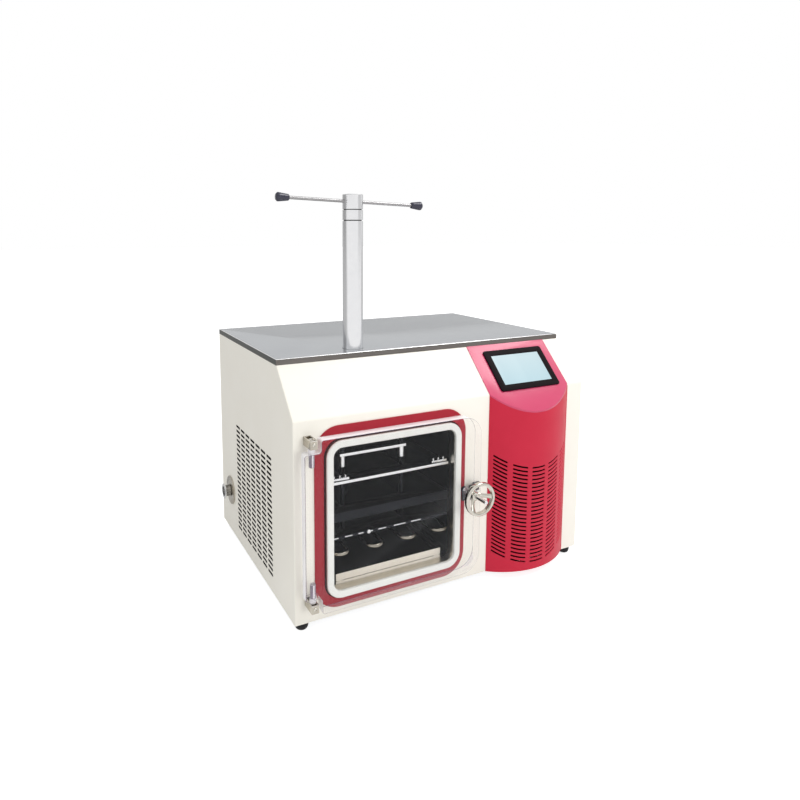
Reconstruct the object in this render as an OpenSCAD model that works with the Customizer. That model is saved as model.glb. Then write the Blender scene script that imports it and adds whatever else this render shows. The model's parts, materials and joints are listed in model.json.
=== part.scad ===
// Benchtop freeze dryer with a square front chamber and a manual stoppering press.
// Every module works from the cabinet's front left corner on the floor:
// X to the right, Y to the back, Z up. placed() moves it to the part's own origin.

/* [Cabinet] */
// Width across the two side panels
cab_w = 780; // [760:10:860]
// Depth from the upright front face to the rear face
cab_d = 570; // [550:10:660]
// Height of the upright front above the cabinet's underside
crease_h = 436; // [430:2:470]
// Height of the top of the sloped front above the underside
shoulder_h = 534; // [520:2:570]
// Depth taken by the sloped front
slope_d = 95; // [85:1:105]
// Thickness of the cabinet's sheet metal
sheet_t = 2; // [1.5:0.5:3]
// Width of the flanges folded inwards along the panels' edges
flange_w = 16; // [12:1:24]
// Height of the worktop's turned-down edge
worktop_h = 13; // [10:1:20]
// Thickness of the worktop's sheet
worktop_t = 2; // [1.5:0.5:3]
// Height of the base pan's upturned edge
pan_h = 24; // [16:1:40]
// Height of the feet
foot_h = 20; // [14:1:30]
// Largest diameter of a foot
foot_d = 30; // [26:1:40]
// Diameter of a foot where it meets the bench
foot_tip_d = 16; // [12:1:22]
// Distance of a foot's axis from the cabinet's sides
foot_inset = 22; // [20:1:60]
// Distance of a foot's axis from the cabinet's front and back
foot_setback = 20; // [18:1:60]

/* [Side vents] */
// Columns of slots in the left side panel
side_cols = 7; // [3:1:7]
// Rows of slots in the left side panel
side_rows = 23; // [8:1:23]
// Distance between slot columns
side_pitch_y = 41; // [38:0.5:43]
// Distance between slot rows
side_pitch_z = 12.4; // [10:0.1:13]
// Length of a side slot
side_slot_l = 33; // [20:1:34]
// Height of a side slot
side_slot_h = 5.6; // [3:0.1:6]
// Distance of the slot field's front edge from the front face
side_vent_y = 137.5; // [130:0.5:145]
// Height of the lowest row of slots above the underside
side_vent_z = 41.5; // [38:0.5:50]

/* [Fascia and console] */
// Distance of the fascia's left edge from the cabinet's left side
fascia_x = 489; // [480:1:500]
// Width of the fascia
fascia_w = 241; // [230:1:260]
// How far the fascia bulges in front of the cabinet
fascia_bulge = 42; // [30:1:50]
// Thickness of the fascia's and the console's sheet
fascia_t = 1.5; // [1:0.5:3]
// Rows of slots in the fascia
fascia_rows = 25; // [10:1:25]
// Distance between the fascia's slot rows
fascia_pitch = 9.8; // [9:0.1:10]
// Height of one fascia slot
fascia_slot_h = 6.2; // [3:0.2:6.4]
// Height of the lowest row at the middle of the bulge, above the underside
fascia_row_z = 19; // [16:1:26]
// Widths of the slot columns from the left edge to the middle
fascia_cols = [30.5, 38.5, 40]; // [20:0.5:40]
// Plain metal between two slot columns
fascia_rib = 11; // [6:0.5:12]
// Width of the screen's bezel
bezel_w = 180; // [160:1:190]
// Height of the bezel along the slope
bezel_h = 114; // [100:1:116]
// Height of the bezel above the console
bezel_t = 4; // [3:0.5:6]
// Corner radius of the bezel
bezel_r = 6; // [3:0.5:10]
// Width of the display
display_w = 145; // [120:1:148]
// Height of the display along the slope
display_h = 82; // [70:1:84]
// Distance of the bezel's lower edge from the crease, along the slope
bezel_rise = 2; // [1:0.5:10]
// Distance of the bezel's left edge from the console's left edge
bezel_x = 36; // [20:1:44]

/* [Chamber] */
// Inner width of the chamber
chamber_w = 304; // [290:1:310]
// Inner height of the chamber
chamber_h = 314; // [300:1:320]
// Inner depth of the chamber behind the front face
chamber_d = 325; // [315:1:345]
// Wall of the chamber
chamber_t = 6; // [4:0.5:8]
// Inner corner radius of the chamber
chamber_r = 20; // [12:1:28]
// Distance of the chamber's axis from the cabinet's left side
chamber_x = 237; // [232:1:242]
// Height of the chamber's axis above the underside
chamber_z = 215; // [212:1:220]
// How far the chamber's mouth stands in front of the cabinet
mouth_reach = 6; // [4.5:0.5:8]
// Thickness of the foam around the chamber
foam_t = 20; // [10:1:24]
// How far the gasket's front stands in front of the cabinet
gasket_reach = 13; // [11:0.5:16]
// Width of the gasket's face
gasket_w = 15.5; // [12:0.5:18]
// Width of the painted surround
surround_w = 376; // [366:1:378]
// Height of the painted surround
surround_h = 399; // [380:1:400]
// Thickness of the painted surround
surround_t = 3; // [2:0.5:3]
// Corner radius of the painted surround
surround_r = 56; // [40:1:60]
// Distance of the surround's middle from the cabinet's left side
surround_x = 233; // [231:1:234]
// Height of the surround's middle above the underside
surround_z = 218.5; // [216:0.5:220]

/* [Shelves] */
// Clearance between a shelf and the chamber's side walls
shelf_gap = 4.5; // [3:0.5:10]
// Gap between the shelves and the chamber's back wall
shelf_back_gap = 25; // [20:1:40]
// Distance of the shelves' front edges behind the front face
shelf_y = 12; // [10:1:16]
// Thickness of a shelf plate
shelf_t = 6; // [5:0.5:8]
// Height of the front apron of the middle shelf
apron_h = 20; // [10:1:24]
// Height of the upper shelf's top above the underside
upper_shelf_z = 289; // [284:1:294]
// Height of the middle shelf's top above the underside
middle_shelf_z = 220; // [216:1:226]
// Height of the bottom shelf's top above the underside
bottom_shelf_z = 167; // [162:1:170]
// Diameter of the four guide rods
rod_d = 10; // [8:0.5:12]
// Height of the evaporator coil's axis above the underside
coil_z = 130; // [126:1:134]
// Distance of the coil's middle from the cabinet's left side
coil_x = 239; // [236:1:240]
// Diameter of the evaporator's tube
coil_d = 8; // [6:0.5:10]
// Front bends of the evaporator coil
coil_bends = 4; // [3:1:4]
// Distance between the front bends
coil_pitch = 84; // [78:1:84]
// Distance between the two runs that a front bend joins
coil_loop = 38; // [30:1:40]
// Width of the drip tray
tray_w = 267; // [240:1:280]
// Height of the drip tray's front lip
tray_lip = 16; // [10:1:20]

/* [Door] */
// Width of the door
door_w = 430; // [424:1:436]
// Height of the door
door_h = 368; // [362:1:376]
// Thickness of the clear door
door_t = 25; // [18:1:30]
// Corner radius at the latch side
door_r = 45; // [30:1:50]
// Distance of the door's left edge from the cabinet's left side
door_x = 10; // [8:1:12]
// Height of the door's lower edge above the underside
door_z = 35; // [32:1:38]
// Width of the notches for the hinges
notch_w = 37; // [36.5:0.5:40]
// Depth of the lower notch
notch_low = 35; // [34:1:40]
// Depth of the upper notch
notch_high = 26; // [25:1:34]
// Distance of the hinge axis from the cabinet's left side
hinge_x = 30; // [29:0.5:30.5]
// Width of a hinge bracket
bracket_w = 16; // [14:0.5:18]
// Height of a hinge bracket
bracket_h = 18; // [16:1:22]
// How far a hinge bracket stands in front of the door
bracket_proud = 1.5; // [0.5:0.5:2]
// Diameter of the hinge pins
pin_d = 8; // [6:0.5:9]
// Diameter of the hinge bushes in the door
bush_d = 12; // [11:0.5:14]
// Thickness of the hinge bushes' flanges
bush_flange = 10; // [8:0.5:10]

/* [Latch] */
// Distance of the latch's axis from the cabinet's left side
latch_x = 417; // [416:0.5:420]
// Height of the latch's axis above the underside
latch_z = 222; // [200:1:240]
// Diameter of the latch spindle
spindle_d = 9; // [7:0.5:10]
// How far the spindle's end stands in front of the cabinet
spindle_reach = 90; // [84:1:100]
// Diameter of the handwheel
wheel_d = 78; // [70:1:84]
// Radial width of the handwheel's rim
rim_w = 7.5; // [5:0.5:9]
// Depth of the handwheel's rim
rim_h = 12; // [8:0.5:14]
// Distance from the hub's back to the rim's back
wheel_dish = 16; // [12:0.5:20]
// Diameter of the handwheel's hub
hub_d = 20; // [16:0.5:24]
// Length of the handwheel's hub
hub_l = 9; // [7:0.5:12]
// Spokes of the handwheel
spokes = 3; // [3:1:5]
// Length of the latch dog from its axis
dog_l = 26; // [22:0.5:28]

/* [Press] */
// Distance of the press from the cabinet's left side
press_x = 205; // [200:1:210]
// Distance of the press from the front face
press_y = 146; // [140:1:156]
// Diameter of the press column
column_d = 47; // [42:1:56]
// Bore of the press column
column_bore = 30; // [29:0.5:32]
// Height of the press column's top above the worktop
column_h = 351; // [330:1:370]
// Height of the turning head on the column
head_h = 59; // [54:1:64]
// Distance of the head's groove from its top
groove_z = 34; // [30:1:38]
// Height of the T-bar's axis below the top
bar_drop = 16; // [14:0.5:18]
// Diameter of the T-bar
bar_d = 7.5; // [6:0.5:8]
// Length of the T-bar over its knobs
bar_span = 364; // [300:2:400]
// Slant of the T-bar in its hole
bar_tilt = 2.2; // [0:0.1:3]
// Length of a knob
knob_l = 29; // [24:1:34]
// Diameter of a knob at its outer end
knob_d = 20; // [16:1:24]
// Diameter of the lead screw
screw_d = 14; // [12:0.5:16]
// Diameter of the press ram
ram_d = 25; // [22:0.5:26]
// Stroke of the press
press_stroke = 40; // [20:1:40]
// Width of the press plate
plate_w = 165; // [160:1:175]
// Depth of the press plate
plate_d = 212; // [208:1:216]
// Thickness of the press plate
plate_t = 6; // [5:0.5:8]
// Height of the press plate's top above the underside
plate_z = 338; // [334:1:342]
// Width of the guide rods' spacing
rod_span_x = 148; // [140:1:150]
// Depth of the guide rods' spacing
rod_span_y = 196; // [180:1:196]

/* [Vacuum port] */
// Distance of the vacuum port from the front face
port_y = 482; // [470:1:500]
// Height of the vacuum port above the underside
port_z = 116; // [110:1:126]
// Outer diameter of the port's clamping flange
port_flange_d = 40; // [38:1:42]
// Bore of the port
port_bore = 26; // [24:1:27]
// Outer diameter of the port's tube
port_tube_d = 30; // [29:0.5:32]
// How far the port stands out of the side panel
port_reach = 21; // [18:1:30]
// Diameter of the round plate behind the port
escutcheon_d = 76; // [60:1:84]
// Thickness of that plate
escutcheon_t = 3; // [2:0.5:4]
// Bend radius of the vacuum pipe
pipe_bend_r = 45; // [40:1:50]
// Distance of the pipe's chamber end from the left side
pipe_x = 150; // [144:1:156]

/* [Machinery] */
// Diameter of the compressor's shell
compressor_d = 160; // [140:1:180]
// Height of the compressor's shell
compressor_h = 190; // [160:1:210]
// Distance of the compressor's axis from the left side
compressor_x = 620; // [600:1:640]
// Distance of the compressor's axis from the front face
compressor_y = 400; // [390:1:420]
// Width of the condenser
condenser_w = 210; // [180:1:220]
// Height of the condenser
condenser_h = 240; // [200:1:260]
// Depth of the condenser
condenser_d = 44; // [34:1:50]
// Distance of the condenser behind the front face
condenser_y = 16; // [12:1:24]
// Side of the fan's square shroud
shroud_w = 206; // [190:1:210]
// Depth of the shroud
shroud_d = 38; // [30:1:44]
// Diameter of the fan rotor
fan_d = 184; // [160:1:188]
// Blades of the fan
fan_blades = 7; // [5:1:9]
// Diameter of the fan's hub
fan_hub_d = 56; // [44:1:64]
// Diameter of the refrigerant lines
line_d = 8; // [6:0.5:10]

/* [Fits] */
// Radial clearance of turning and sliding fits
run_fit = 0.05; // [0.02:0.01:0.1]
// Radial clearance of pressed and clamped fits
fixed_fit = 0.02; // [0.01:0.01:0.05]
// Gap between faces that move past each other
face_gap = 0.3; // [0.2:0.05:0.5]
// Gap around pieces that pass through sheet metal
pass_gap = 1; // [0.5:0.1:2]

/* [Hidden] */
$fn = 64;

cut = 1;
spindle_stub = 4.4;
rear_reach = 4;
flange_relief = 4;
frame_x = (cab_w - port_reach) / 2;
frame_y = (cab_d + rear_reach - spindle_reach) / 2;

cream = "#EEECE4";
red = "#C6374E";
steel = "#B9BDC2";
dark_steel = "#5A5F66";
black = "#202024";

// Rubber feet
foot_band = 8;
foot_hole_d = 9;
foot_hole_l = 7;

// Levels above the bench
base_z = foot_h;
floor_z = base_z + sheet_t;
crease_z = base_z + crease_h;
shoulder_z = base_z + shoulder_h;
top_z = shoulder_z + worktop_h;
mouth_z = base_z + chamber_z;
press_top = top_z + column_h;

// Sloped front
slope_a = atan2(shoulder_h - crease_h, slope_d);
slope_inner_z = crease_z + sheet_t * tan(slope_a) - sheet_t / cos(slope_a);
slope_inner_y = slope_d + sheet_t / sin(slope_a);

// Outer sizes of the chamber and places inside it
chamber_out_w = chamber_w + 2 * chamber_t;
chamber_out_h = chamber_h + 2 * chamber_t;
chamber_left = chamber_x - chamber_w / 2;
chamber_right = chamber_x + chamber_w / 2;
chamber_low = mouth_z - chamber_h / 2;
chamber_high = mouth_z + chamber_h / 2;
roof_z = chamber_high + chamber_t;
back_y = chamber_d + chamber_t;
boss_d = 100;
boss_h = 14;
boss_z = roof_z + boss_h;
column_flange_h = 10;
bolt_circle = 76;
bolt_d = 8;
bolt_head_d = 13;
gland_d = 36;

// Door, hinges and latch
door_front = -gasket_reach - door_t;
hinge_y = -gasket_reach - door_t / 2;
door_low = base_z + door_z;
door_high = door_low + door_h;
lower_notch_z = door_low + notch_low;
upper_notch_z = door_high - notch_high;
lower_bracket_z = lower_notch_z - bush_flange - face_gap - bracket_h;
upper_bracket_z = upper_notch_z + bush_flange + face_gap;
pin_grip = 28;
latch_h = base_z + latch_z;
bush_lip = 3;
latch_bush_d = 16;
washer_t = 3;
washer_y = door_front - bush_lip - face_gap - washer_t;
hub_y = washer_y - hub_l;
rim_y = washer_y - wheel_dish - rim_h;
keeper_lip = 3;
keeper_y = -gasket_reach + face_gap;
dog_y = keeper_y + keeper_lip + face_gap;
dog_t = 5;
dog_hub_d = 15;
keeper_gap = 2.5;

// Press
head_z = press_top - head_h;
bar_z = press_top - bar_drop;
screw_end_gap = 6;
screw_top = bar_z - bar_d / 2 - screw_end_gap;
bush_l = 22.7;
collar_h = 6;
collar_d = column_bore - 4;
collar_z = head_z - bush_l - face_gap - collar_h;
ram_gap = 9;
ram_top = collar_z - ram_gap;
ram_bore_l = 261;
ram_bore_z = ram_top - ram_bore_l;
screw_tip_gap = 2;
screw_low = ram_bore_z + press_stroke + screw_tip_gap;

// Shelves
shelf_w = chamber_w - 2 * shelf_gap;
shelf_d = chamber_d - shelf_y - shelf_back_gap;
rail_w = 14;
rail_t = 4;
rail_inset = 8;

// Fascia's arc, seen from above, and its slots, which lie parallel to the slope
fascia_flange = 6;
duct_inset = 20;
duct_low = 30;
duct_h = 290;
slot_lead = 10;
fascia_slot_t = fascia_slot_h * cos(slope_a);
fascia_mid = fascia_x + fascia_w / 2;
fascia_r = (pow(fascia_w / 2, 2) + pow(fascia_bulge, 2)) / (2 * fascia_bulge);
fascia_cy = fascia_r - fascia_bulge;

// Left edges and widths of the slot columns, mirrored about the middle
slot_cols = [
    for (side = [-1, 1], i = [0:1])
        let (
            inner = fascia_cols[2] / 2 + fascia_rib + (1 - i) * (fascia_cols[1] + fascia_rib),
            w = fascia_cols[i],
            left = side < 0 ? -inner - w : inner
        )
        [left, w],
    [-fascia_cols[2] / 2, fascia_cols[2]]
];

// Rear panel
rear_screw_d = 4;
rear_screw_head_d = 8;
rear_screw_head_t = 2.4;
screw_tip_l = 3;
rear_screw_low = 60;
rear_screw_high = 50;
rear_screw_pitch = (shoulder_h - rear_screw_low - rear_screw_high) / 2;
rear_screw_levels = [for (i = [0:2]) base_z + rear_screw_low + i * rear_screw_pitch];
inlet_inset = 90;
inlet_x = cab_w - inlet_inset;
inlet_z = base_z + 80;
inlet_w = 27;
inlet_h = 48;
inlet_lip = 4;
inlet_lip_t = 3;
inlet_depth = 22;
inlet_floor = 4;
inlet_side = 2.5;
inlet_rim = 8;
blade_pin_w = 2;
blade_pin_h = 4;
blade_pin_l = 17;
switch_rise = 60;
switch_z = inlet_z + switch_rise;
switch_w = 22;
switch_h = 30;
switch_lip = 3;
switch_lip_t = 2;
switch_depth = 14;
switch_well = 11;
cutout_gap = 0.5;
rear_vent_w = 44;
rear_vent_gap = 11;
rear_vent_cols = 5;
rear_vent_rows = 16;
rear_vent_z = 90;
rear_vent_x = cab_w / 2 - 110;

// Screen and the cut-out behind it
display_sink = 0.5;
display_back = 10;
display_lap = 8;
screen_cut_gap = 2;
screen_cut_w = display_w + display_lap + 2 * screen_cut_gap;
screen_cut_h = display_h + display_lap + 2 * screen_cut_gap;
screen_cut_t = 20;

// Control box
box_inset = 20;
box_x = fascia_x + box_inset;
box_y = slope_d + box_inset;
box_w = fascia_w - 2 * box_inset;
box_d = 150;
box_h = 150;
box_drop = 30;
box_z = shoulder_z - box_drop - box_h;
box_t = 1.5;
strap_d = 20;

// Chamber fittings
bolt_grip = 11;
bolt_end_gap = 1;
foam_y = 4;
foam_low = chamber_low - chamber_t - foam_t;
port_level = base_z + port_z;
port_inner_x = 60;
port_flange_t = 3;
flange_slant = 15;
cradle_w = 30;
cradle_t = 3;
cradle_y = 30.5;
cradle_d = back_y - 2 * cradle_y;
cradle_offset = 110;
cradle_x = [chamber_x - cradle_offset, chamber_x + cradle_offset];
upper_level = base_z + upper_shelf_z;
middle_level = base_z + middle_shelf_z;
bottom_level = base_z + bottom_shelf_z;
plate_level = base_z + plate_z;
apron_t = 3;
fitting_w = 40;
fitting_d = 10;
fitting_h = 6;
fitting_inset = 3;
peg_d = 3.5;
peg_h = 5;
tray_shift = 5;
tray_y = 15;
tray_back_gap = 30;
tray_d = chamber_d - tray_y - tray_back_gap;
tray_t = 1.5;
tray_rise = 8;
tray_level = chamber_low + tray_rise;
tray_slit = 1.5;
tray_skirt_t = 2;
runner_w = 12;
runner_inset = 4;
runner_y = 1;
coil_level = base_z + coil_z;
coil_front_y = 26;
coil_back_gap = 25;
coil_back_r = (coil_pitch - coil_loop) / 2;
coil_back_y = chamber_d - coil_back_gap - coil_back_r - coil_d / 2;
coil_tail_l = 8;
coil_tail_end = back_y + foam_t + coil_tail_l;
coil_centres = [for (i = [0:coil_bends - 1]) coil_x + (i - (coil_bends - 1) / 2) * coil_pitch];
coil_tail_x = [coil_centres[0] - coil_loop / 2, coil_centres[coil_bends - 1] + coil_loop / 2];

// Details of the door's hardware
bracket_t = 2.5;
bracket_floor = 7;
bracket_boss_d = pin_d + 5;
pin_sink = 1;
bush_flange_d = bush_d + 2;
bush_end_gap = 1;
bush_l_in = pin_grip + bush_end_gap;
bush_hole_l = bush_l_in + bush_end_gap;
latch_lip_d = latch_bush_d + 8;
washer_d = hub_d + 5;
spindle_chamfer = 1;
notch_r = 7;
notch_edge_r = 5;
door_back_r = 9;
door_front_r = 2;
keeper_h = 20;
keeper_foot_t = 4;
keeper_foot_w = 17;
dog_w = 11;
spoke_d = 7;
groove_w = 2;
groove_deep = 3;
knob_grip = 18;
knob_neck_d = 14.4;
knob_chamfer = 1.3;
seal_d = 4.4;
seal_levels = [chamber_high + 6, chamber_high + 14];

// Machinery
mount_h = 12;
foot_plate_w = 200;
foot_plate_d = 166;
foot_plate_t = 3;
foot_plate_weld = 1;
mount_d = 24;
mount_inset = 14;
compressor_round = 30;
seam_w = 3;
seam_h = 5;
stub_d = line_d + 4;
stub_l = 12;
suction_x = compressor_x - compressor_d / 2 - stub_l;
discharge_y = compressor_y - compressor_d / 2 - stub_l;
discharge_z = base_z + 150;
line_back_y = discharge_y - 50;
liquid_y = coil_tail_end + 20;
gas_offset = 24;
liquid_offset = 42;
line_bend_r = 12;
condenser_fins = 26;
fin_t = 1;
condenser_tubes = 6;
condenser_tube_d = 9;
condenser_edge = 22;
condenser_stub = 14;
condenser_rail = 2;
condenser_mid_y = condenser_y + condenser_d / 2;
condenser_low_z = floor_z + condenser_edge;
condenser_high_z = floor_z + condenser_h - condenser_edge;
shroud_y = condenser_y + condenser_d;
arm_t = 4;
arm_w = 9;
motor_d = 52;
motor_l = 40;
motor_bore_l = 32;
fan_gap = 4;
fan_z = floor_z + shroud_w / 2;
fan_shaft_d = 6;
blade_t = 2;
blade_w = 24;
blade_pitch = 35;
blade_root = 3;
blade_tip_gap = 2;
hub_front_gap = 6;
hub_back_gap = 3;
shaft_gap = 2;
shaft_end_gap = 4;
arm_inset = 2;
arm_rise = 16;
rocker_w = 15;
rocker_h = 22;
rocker_y = -3;
rocker_pin_d = 3;
rocker_pin_l = 19.4;
rocker_pin_gap = 0.3;
rocker_depth = 7;
rocker_sink = 4;
rocker_side_gap = 0.5;
rocker_end_gap = 1.5;
rocker_tilt = 8;

module placed() {
    translate([-frame_x, -frame_y, 0]) children();
}

// Extrudes a Y-Z outline along X
module along_x(x, w) {
    translate([x, 0, 0]) rotate([90, 0, 90]) linear_extrude(w) children();
}

// Extrudes an X-Z outline along Y, from y backwards
module along_y(y, d) {
    translate([0, y + d, 0]) rotate([90, 0, 0]) linear_extrude(d) children();
}

// Cylinder along X from x
module rod_x(x, y, z, d, l) {
    translate([x, y, z]) rotate([0, 90, 0]) cylinder(d = d, h = l);
}

// Cylinder along Y from y
module rod_y(x, y, z, d, l) {
    translate([x, y, z]) rotate([-90, 0, 0]) cylinder(d = d, h = l);
}

module rod_z(x, y, z, d, l) {
    translate([x, y, z]) cylinder(d = d, h = l);
}

module rounded_rect(w, h, r) {
    square([w - 2 * r, h], center = true);
    square([w, h - 2 * r], center = true);
    for (x = [-1, 1], y = [-1, 1])
        translate([x * (w / 2 - r), y * (h / 2 - r)]) circle(r);
}

// Slot with round ends, centred
module slot(l, h) {
    square([l - h, h], center = true);
    for (x = [-1, 1]) translate([x * (l - h) / 2, 0]) circle(d = h, $fn = 24);
}

module at_mouth() {
    translate([chamber_x, mouth_z]) children();
}

// Frame on the sloped front: X along the crease, Y up the slope, Z out of it
module on_slope(x, rise) {
    translate([x, 0, crease_z]) rotate([slope_a, 0, 0]) translate([0, rise, 0]) children();
}

module side_outline() {
    polygon([
        [sheet_t, base_z],
        [sheet_t, slope_inner_z],
        [slope_inner_y, shoulder_z],
        [cab_d - sheet_t, shoulder_z],
        [cab_d - sheet_t, base_z]
    ]);
}

module base_pan() {
    inner_w = cab_w - 2 * sheet_t;
    inner_d = cab_d - 2 * sheet_t;
    color(steel) difference() {
        translate([sheet_t, sheet_t, base_z]) cube([inner_w, inner_d, pan_h]);
        translate([2 * sheet_t, 2 * sheet_t, floor_z])
            cube([inner_w - 2 * sheet_t, inner_d - 2 * sheet_t, pan_h]);
    }
}

module feet() {
    color(black)
    for (x = [foot_inset, cab_w - foot_inset], y = [foot_setback, cab_d - foot_setback])
        translate([x, y, 0]) difference() {
            rotate_extrude() polygon([
                [0, 0],
                for (a = [0:15:90])
                    [foot_tip_d / 2 + (foot_d - foot_tip_d) / 2 * sin(a),
                     (foot_h - foot_band) * (1 - cos(a))],
                [foot_d / 2, foot_h],
                [0, foot_h]
            ]);
            translate([0, 0, -cut]) cylinder(d = foot_hole_d, h = foot_hole_l + cut);
        }
}

module front_panel() {
    color(cream) difference() {
        along_x(0, cab_w) polygon([
            [0, base_z],
            [0, crease_z],
            [slope_d, shoulder_z],
            [slope_inner_y, shoulder_z],
            [sheet_t, slope_inner_z],
            [sheet_t, base_z]
        ]);
        along_y(-cut, sheet_t + 2 * cut) at_mouth()
            rounded_rect(chamber_out_w + 2 * pass_gap, chamber_out_h + 2 * pass_gap,
                         chamber_r + chamber_t + pass_gap);
        translate([fascia_x + duct_inset, -cut, base_z + duct_low])
            cube([fascia_w - 2 * duct_inset, sheet_t + 2 * cut, duct_h]);
        on_slope(fascia_x + bezel_x + bezel_w / 2, bezel_rise + bezel_h / 2)
            cube([screen_cut_w, screen_cut_h, screen_cut_t], center = true);
    }
}

module side_flanges(x, inward) {
    flange_x = inward > 0 ? x : x - flange_w;
    front_y = slope_inner_y + flange_relief;
    low_z = base_z + pan_h + flange_relief;
    translate([flange_x, front_y, shoulder_z - sheet_t])
        cube([flange_w, cab_d - front_y - sheet_t, sheet_t]);
    translate([flange_x, cab_d - 2 * sheet_t, low_z])
        cube([flange_w, sheet_t, shoulder_z - low_z]);
}

module rear_screw_holes() {
    for (x = [flange_w / 2, cab_w - flange_w / 2], z = rear_screw_levels)
        rod_y(x, cab_d - 2 * sheet_t - cut, z, rear_screw_d + 2 * fixed_fit, 2 * sheet_t + 2 * cut);
}

module left_side_panel() {
    color(cream) difference() {
        union() {
            along_x(0, sheet_t) difference() {
                side_outline();
                for (i = [0:side_cols - 1], j = [0:side_rows - 1])
                    translate([side_vent_y + side_slot_l / 2 + i * side_pitch_y,
                               base_z + side_vent_z + j * side_pitch_z])
                        slot(side_slot_l, side_slot_h);
                translate([port_y, base_z + port_z]) circle(d = port_tube_d + 2 * pass_gap);
            }
            side_flanges(0, 1);
        }
        rear_screw_holes();
    }
}

module right_side_panel() {
    color(cream) difference() {
        union() {
            along_x(cab_w - sheet_t, sheet_t) side_outline();
            side_flanges(cab_w, -1);
        }
        rear_screw_holes();
    }
}

module rear_panel() {
    color(cream) difference() {
        along_y(cab_d - sheet_t, sheet_t) difference() {
            translate([0, base_z]) square([cab_w, shoulder_h]);
            for (i = [0:rear_vent_cols - 1], j = [0:rear_vent_rows - 1])
                translate([rear_vent_x + i * (rear_vent_w + rear_vent_gap),
                           base_z + rear_vent_z + j * side_pitch_z])
                    slot(rear_vent_w, side_slot_h);
            translate([inlet_x, inlet_z])
                square([inlet_w + 2 * cutout_gap, inlet_h + 2 * cutout_gap], center = true);
            translate([inlet_x, switch_z])
                square([switch_w + 2 * cutout_gap, switch_h + 2 * cutout_gap], center = true);
        }
        rear_screw_holes();
    }
}

module worktop() {
    inner_d = cab_d - slope_d;
    color(steel) difference() {
        translate([0, slope_d, shoulder_z]) cube([cab_w, inner_d, worktop_h]);
        translate([worktop_t, slope_d + worktop_t, shoulder_z - cut])
            cube([cab_w - 2 * worktop_t, inner_d - 2 * worktop_t, worktop_h - worktop_t + cut]);
        rod_z(press_x, press_y, shoulder_z, column_d + 2 * pass_gap, worktop_h + cut);
    }
}

module fascia_plan(inset) {
    intersection() {
        translate([fascia_mid, fascia_cy]) circle(fascia_r - inset, $fn = 180);
        translate([fascia_x, -fascia_bulge - cut]) square([fascia_w, fascia_bulge + cut]);
    }
}

// Everything above the sloped plane, lowered by drop
module above_slope(drop) {
    translate([fascia_x - cut, 0, crease_z]) rotate([slope_a, 0, 0])
        translate([0, -3 * fascia_bulge, -drop]) cube([fascia_w + 2 * cut, 6 * fascia_bulge, 200]);
}

module fascia() {
    color(red) difference() {
        translate([0, 0, base_z]) linear_extrude(crease_h) fascia_plan(0);
        translate([0, 0, base_z + fascia_t]) linear_extrude(crease_h) difference() {
            fascia_plan(fascia_t);
            for (x = [fascia_x, fascia_x + fascia_w - fascia_flange])
                translate([x, -fascia_t]) square([fascia_flange, fascia_t]);
        }
        above_slope(fascia_t);
        for (c = slot_cols, j = [0:fascia_rows - 1])
            translate([fascia_mid + c[0], -fascia_bulge, base_z + fascia_row_z + j * fascia_pitch])
                rotate([slope_a, 0, 0]) translate([0, -slot_lead, -fascia_slot_t / 2])
                    cube([c[1], slot_lead + fascia_bulge / cos(slope_a), fascia_slot_t]);
    }
}

module console() {
    front_run = fascia_bulge / cos(slope_a);
    slope_l = slope_d / cos(slope_a);
    color(red) difference() {
        intersection() {
            on_slope(fascia_x, -front_run - cut) translate([0, 0, -fascia_t])
                cube([fascia_w, front_run + slope_l + cut, 2 * fascia_t]);
            translate([0, 0, crease_z - 2 * fascia_bulge]) linear_extrude(2 * shoulder_h) union() {
                fascia_plan(0);
                translate([fascia_x, -cut / 10]) square([fascia_w, slope_d]);
            }
        }
        on_slope(fascia_x, 0) translate([-cut, 0, -fascia_t - cut])
            cube([fascia_w + 2 * cut, slope_l + cut, fascia_t + cut]);
        translate([fascia_x - cut, 0, crease_z - fascia_bulge])
            cube([fascia_w + 2 * cut, slope_d, fascia_bulge]);
        on_slope(fascia_x + bezel_x + bezel_w / 2, bezel_rise + bezel_h / 2)
            cube([screen_cut_w, screen_cut_h, screen_cut_t], center = true);
    }
}

module on_bezel() {
    on_slope(fascia_x + bezel_x + bezel_w / 2, bezel_rise + bezel_h / 2)
        translate([0, 0, fascia_t]) children();
}

module screen_bezel() {
    color(black) on_bezel() difference() {
        linear_extrude(bezel_t) rounded_rect(bezel_w, bezel_h, bezel_r);
        translate([0, 0, -cut]) linear_extrude(bezel_t + 2 * cut)
            square([display_w, display_h], center = true);
    }
}

module display() {
    color("#CDE8F0") on_bezel() {
        linear_extrude(bezel_t - display_sink)
            square([display_w - face_gap, display_h - face_gap], center = true);
        translate([0, 0, -display_back]) linear_extrude(display_back)
            square([display_w + display_lap, display_h + display_lap], center = true);
    }
}

module control_box() {
    color(dark_steel) difference() {
        union() {
            translate([box_x, box_y, box_z]) cube([box_w, box_d, box_h]);
            translate([box_x, box_y, box_z]) cube([cab_w - sheet_t - box_x, strap_d, box_t]);
        }
        translate([box_x + box_t, box_y + box_t, box_z + box_t])
            cube([box_w - 2 * box_t, box_d - 2 * box_t, box_h]);
    }
}

module mouth_surround() {
    color(red) along_y(-surround_t, surround_t) difference() {
        translate([surround_x, base_z + surround_z])
            rounded_rect(surround_w, surround_h, surround_r);
        mouth_hole();
    }
}

module mouth_hole() {
    at_mouth() rounded_rect(chamber_out_w + 2 * pass_gap, chamber_out_h + 2 * pass_gap,
                            chamber_r + chamber_t + pass_gap);
}

module chamber_section(grow) {
    at_mouth() rounded_rect(chamber_w + 2 * grow, chamber_h + 2 * grow, chamber_r + grow);
}

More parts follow.
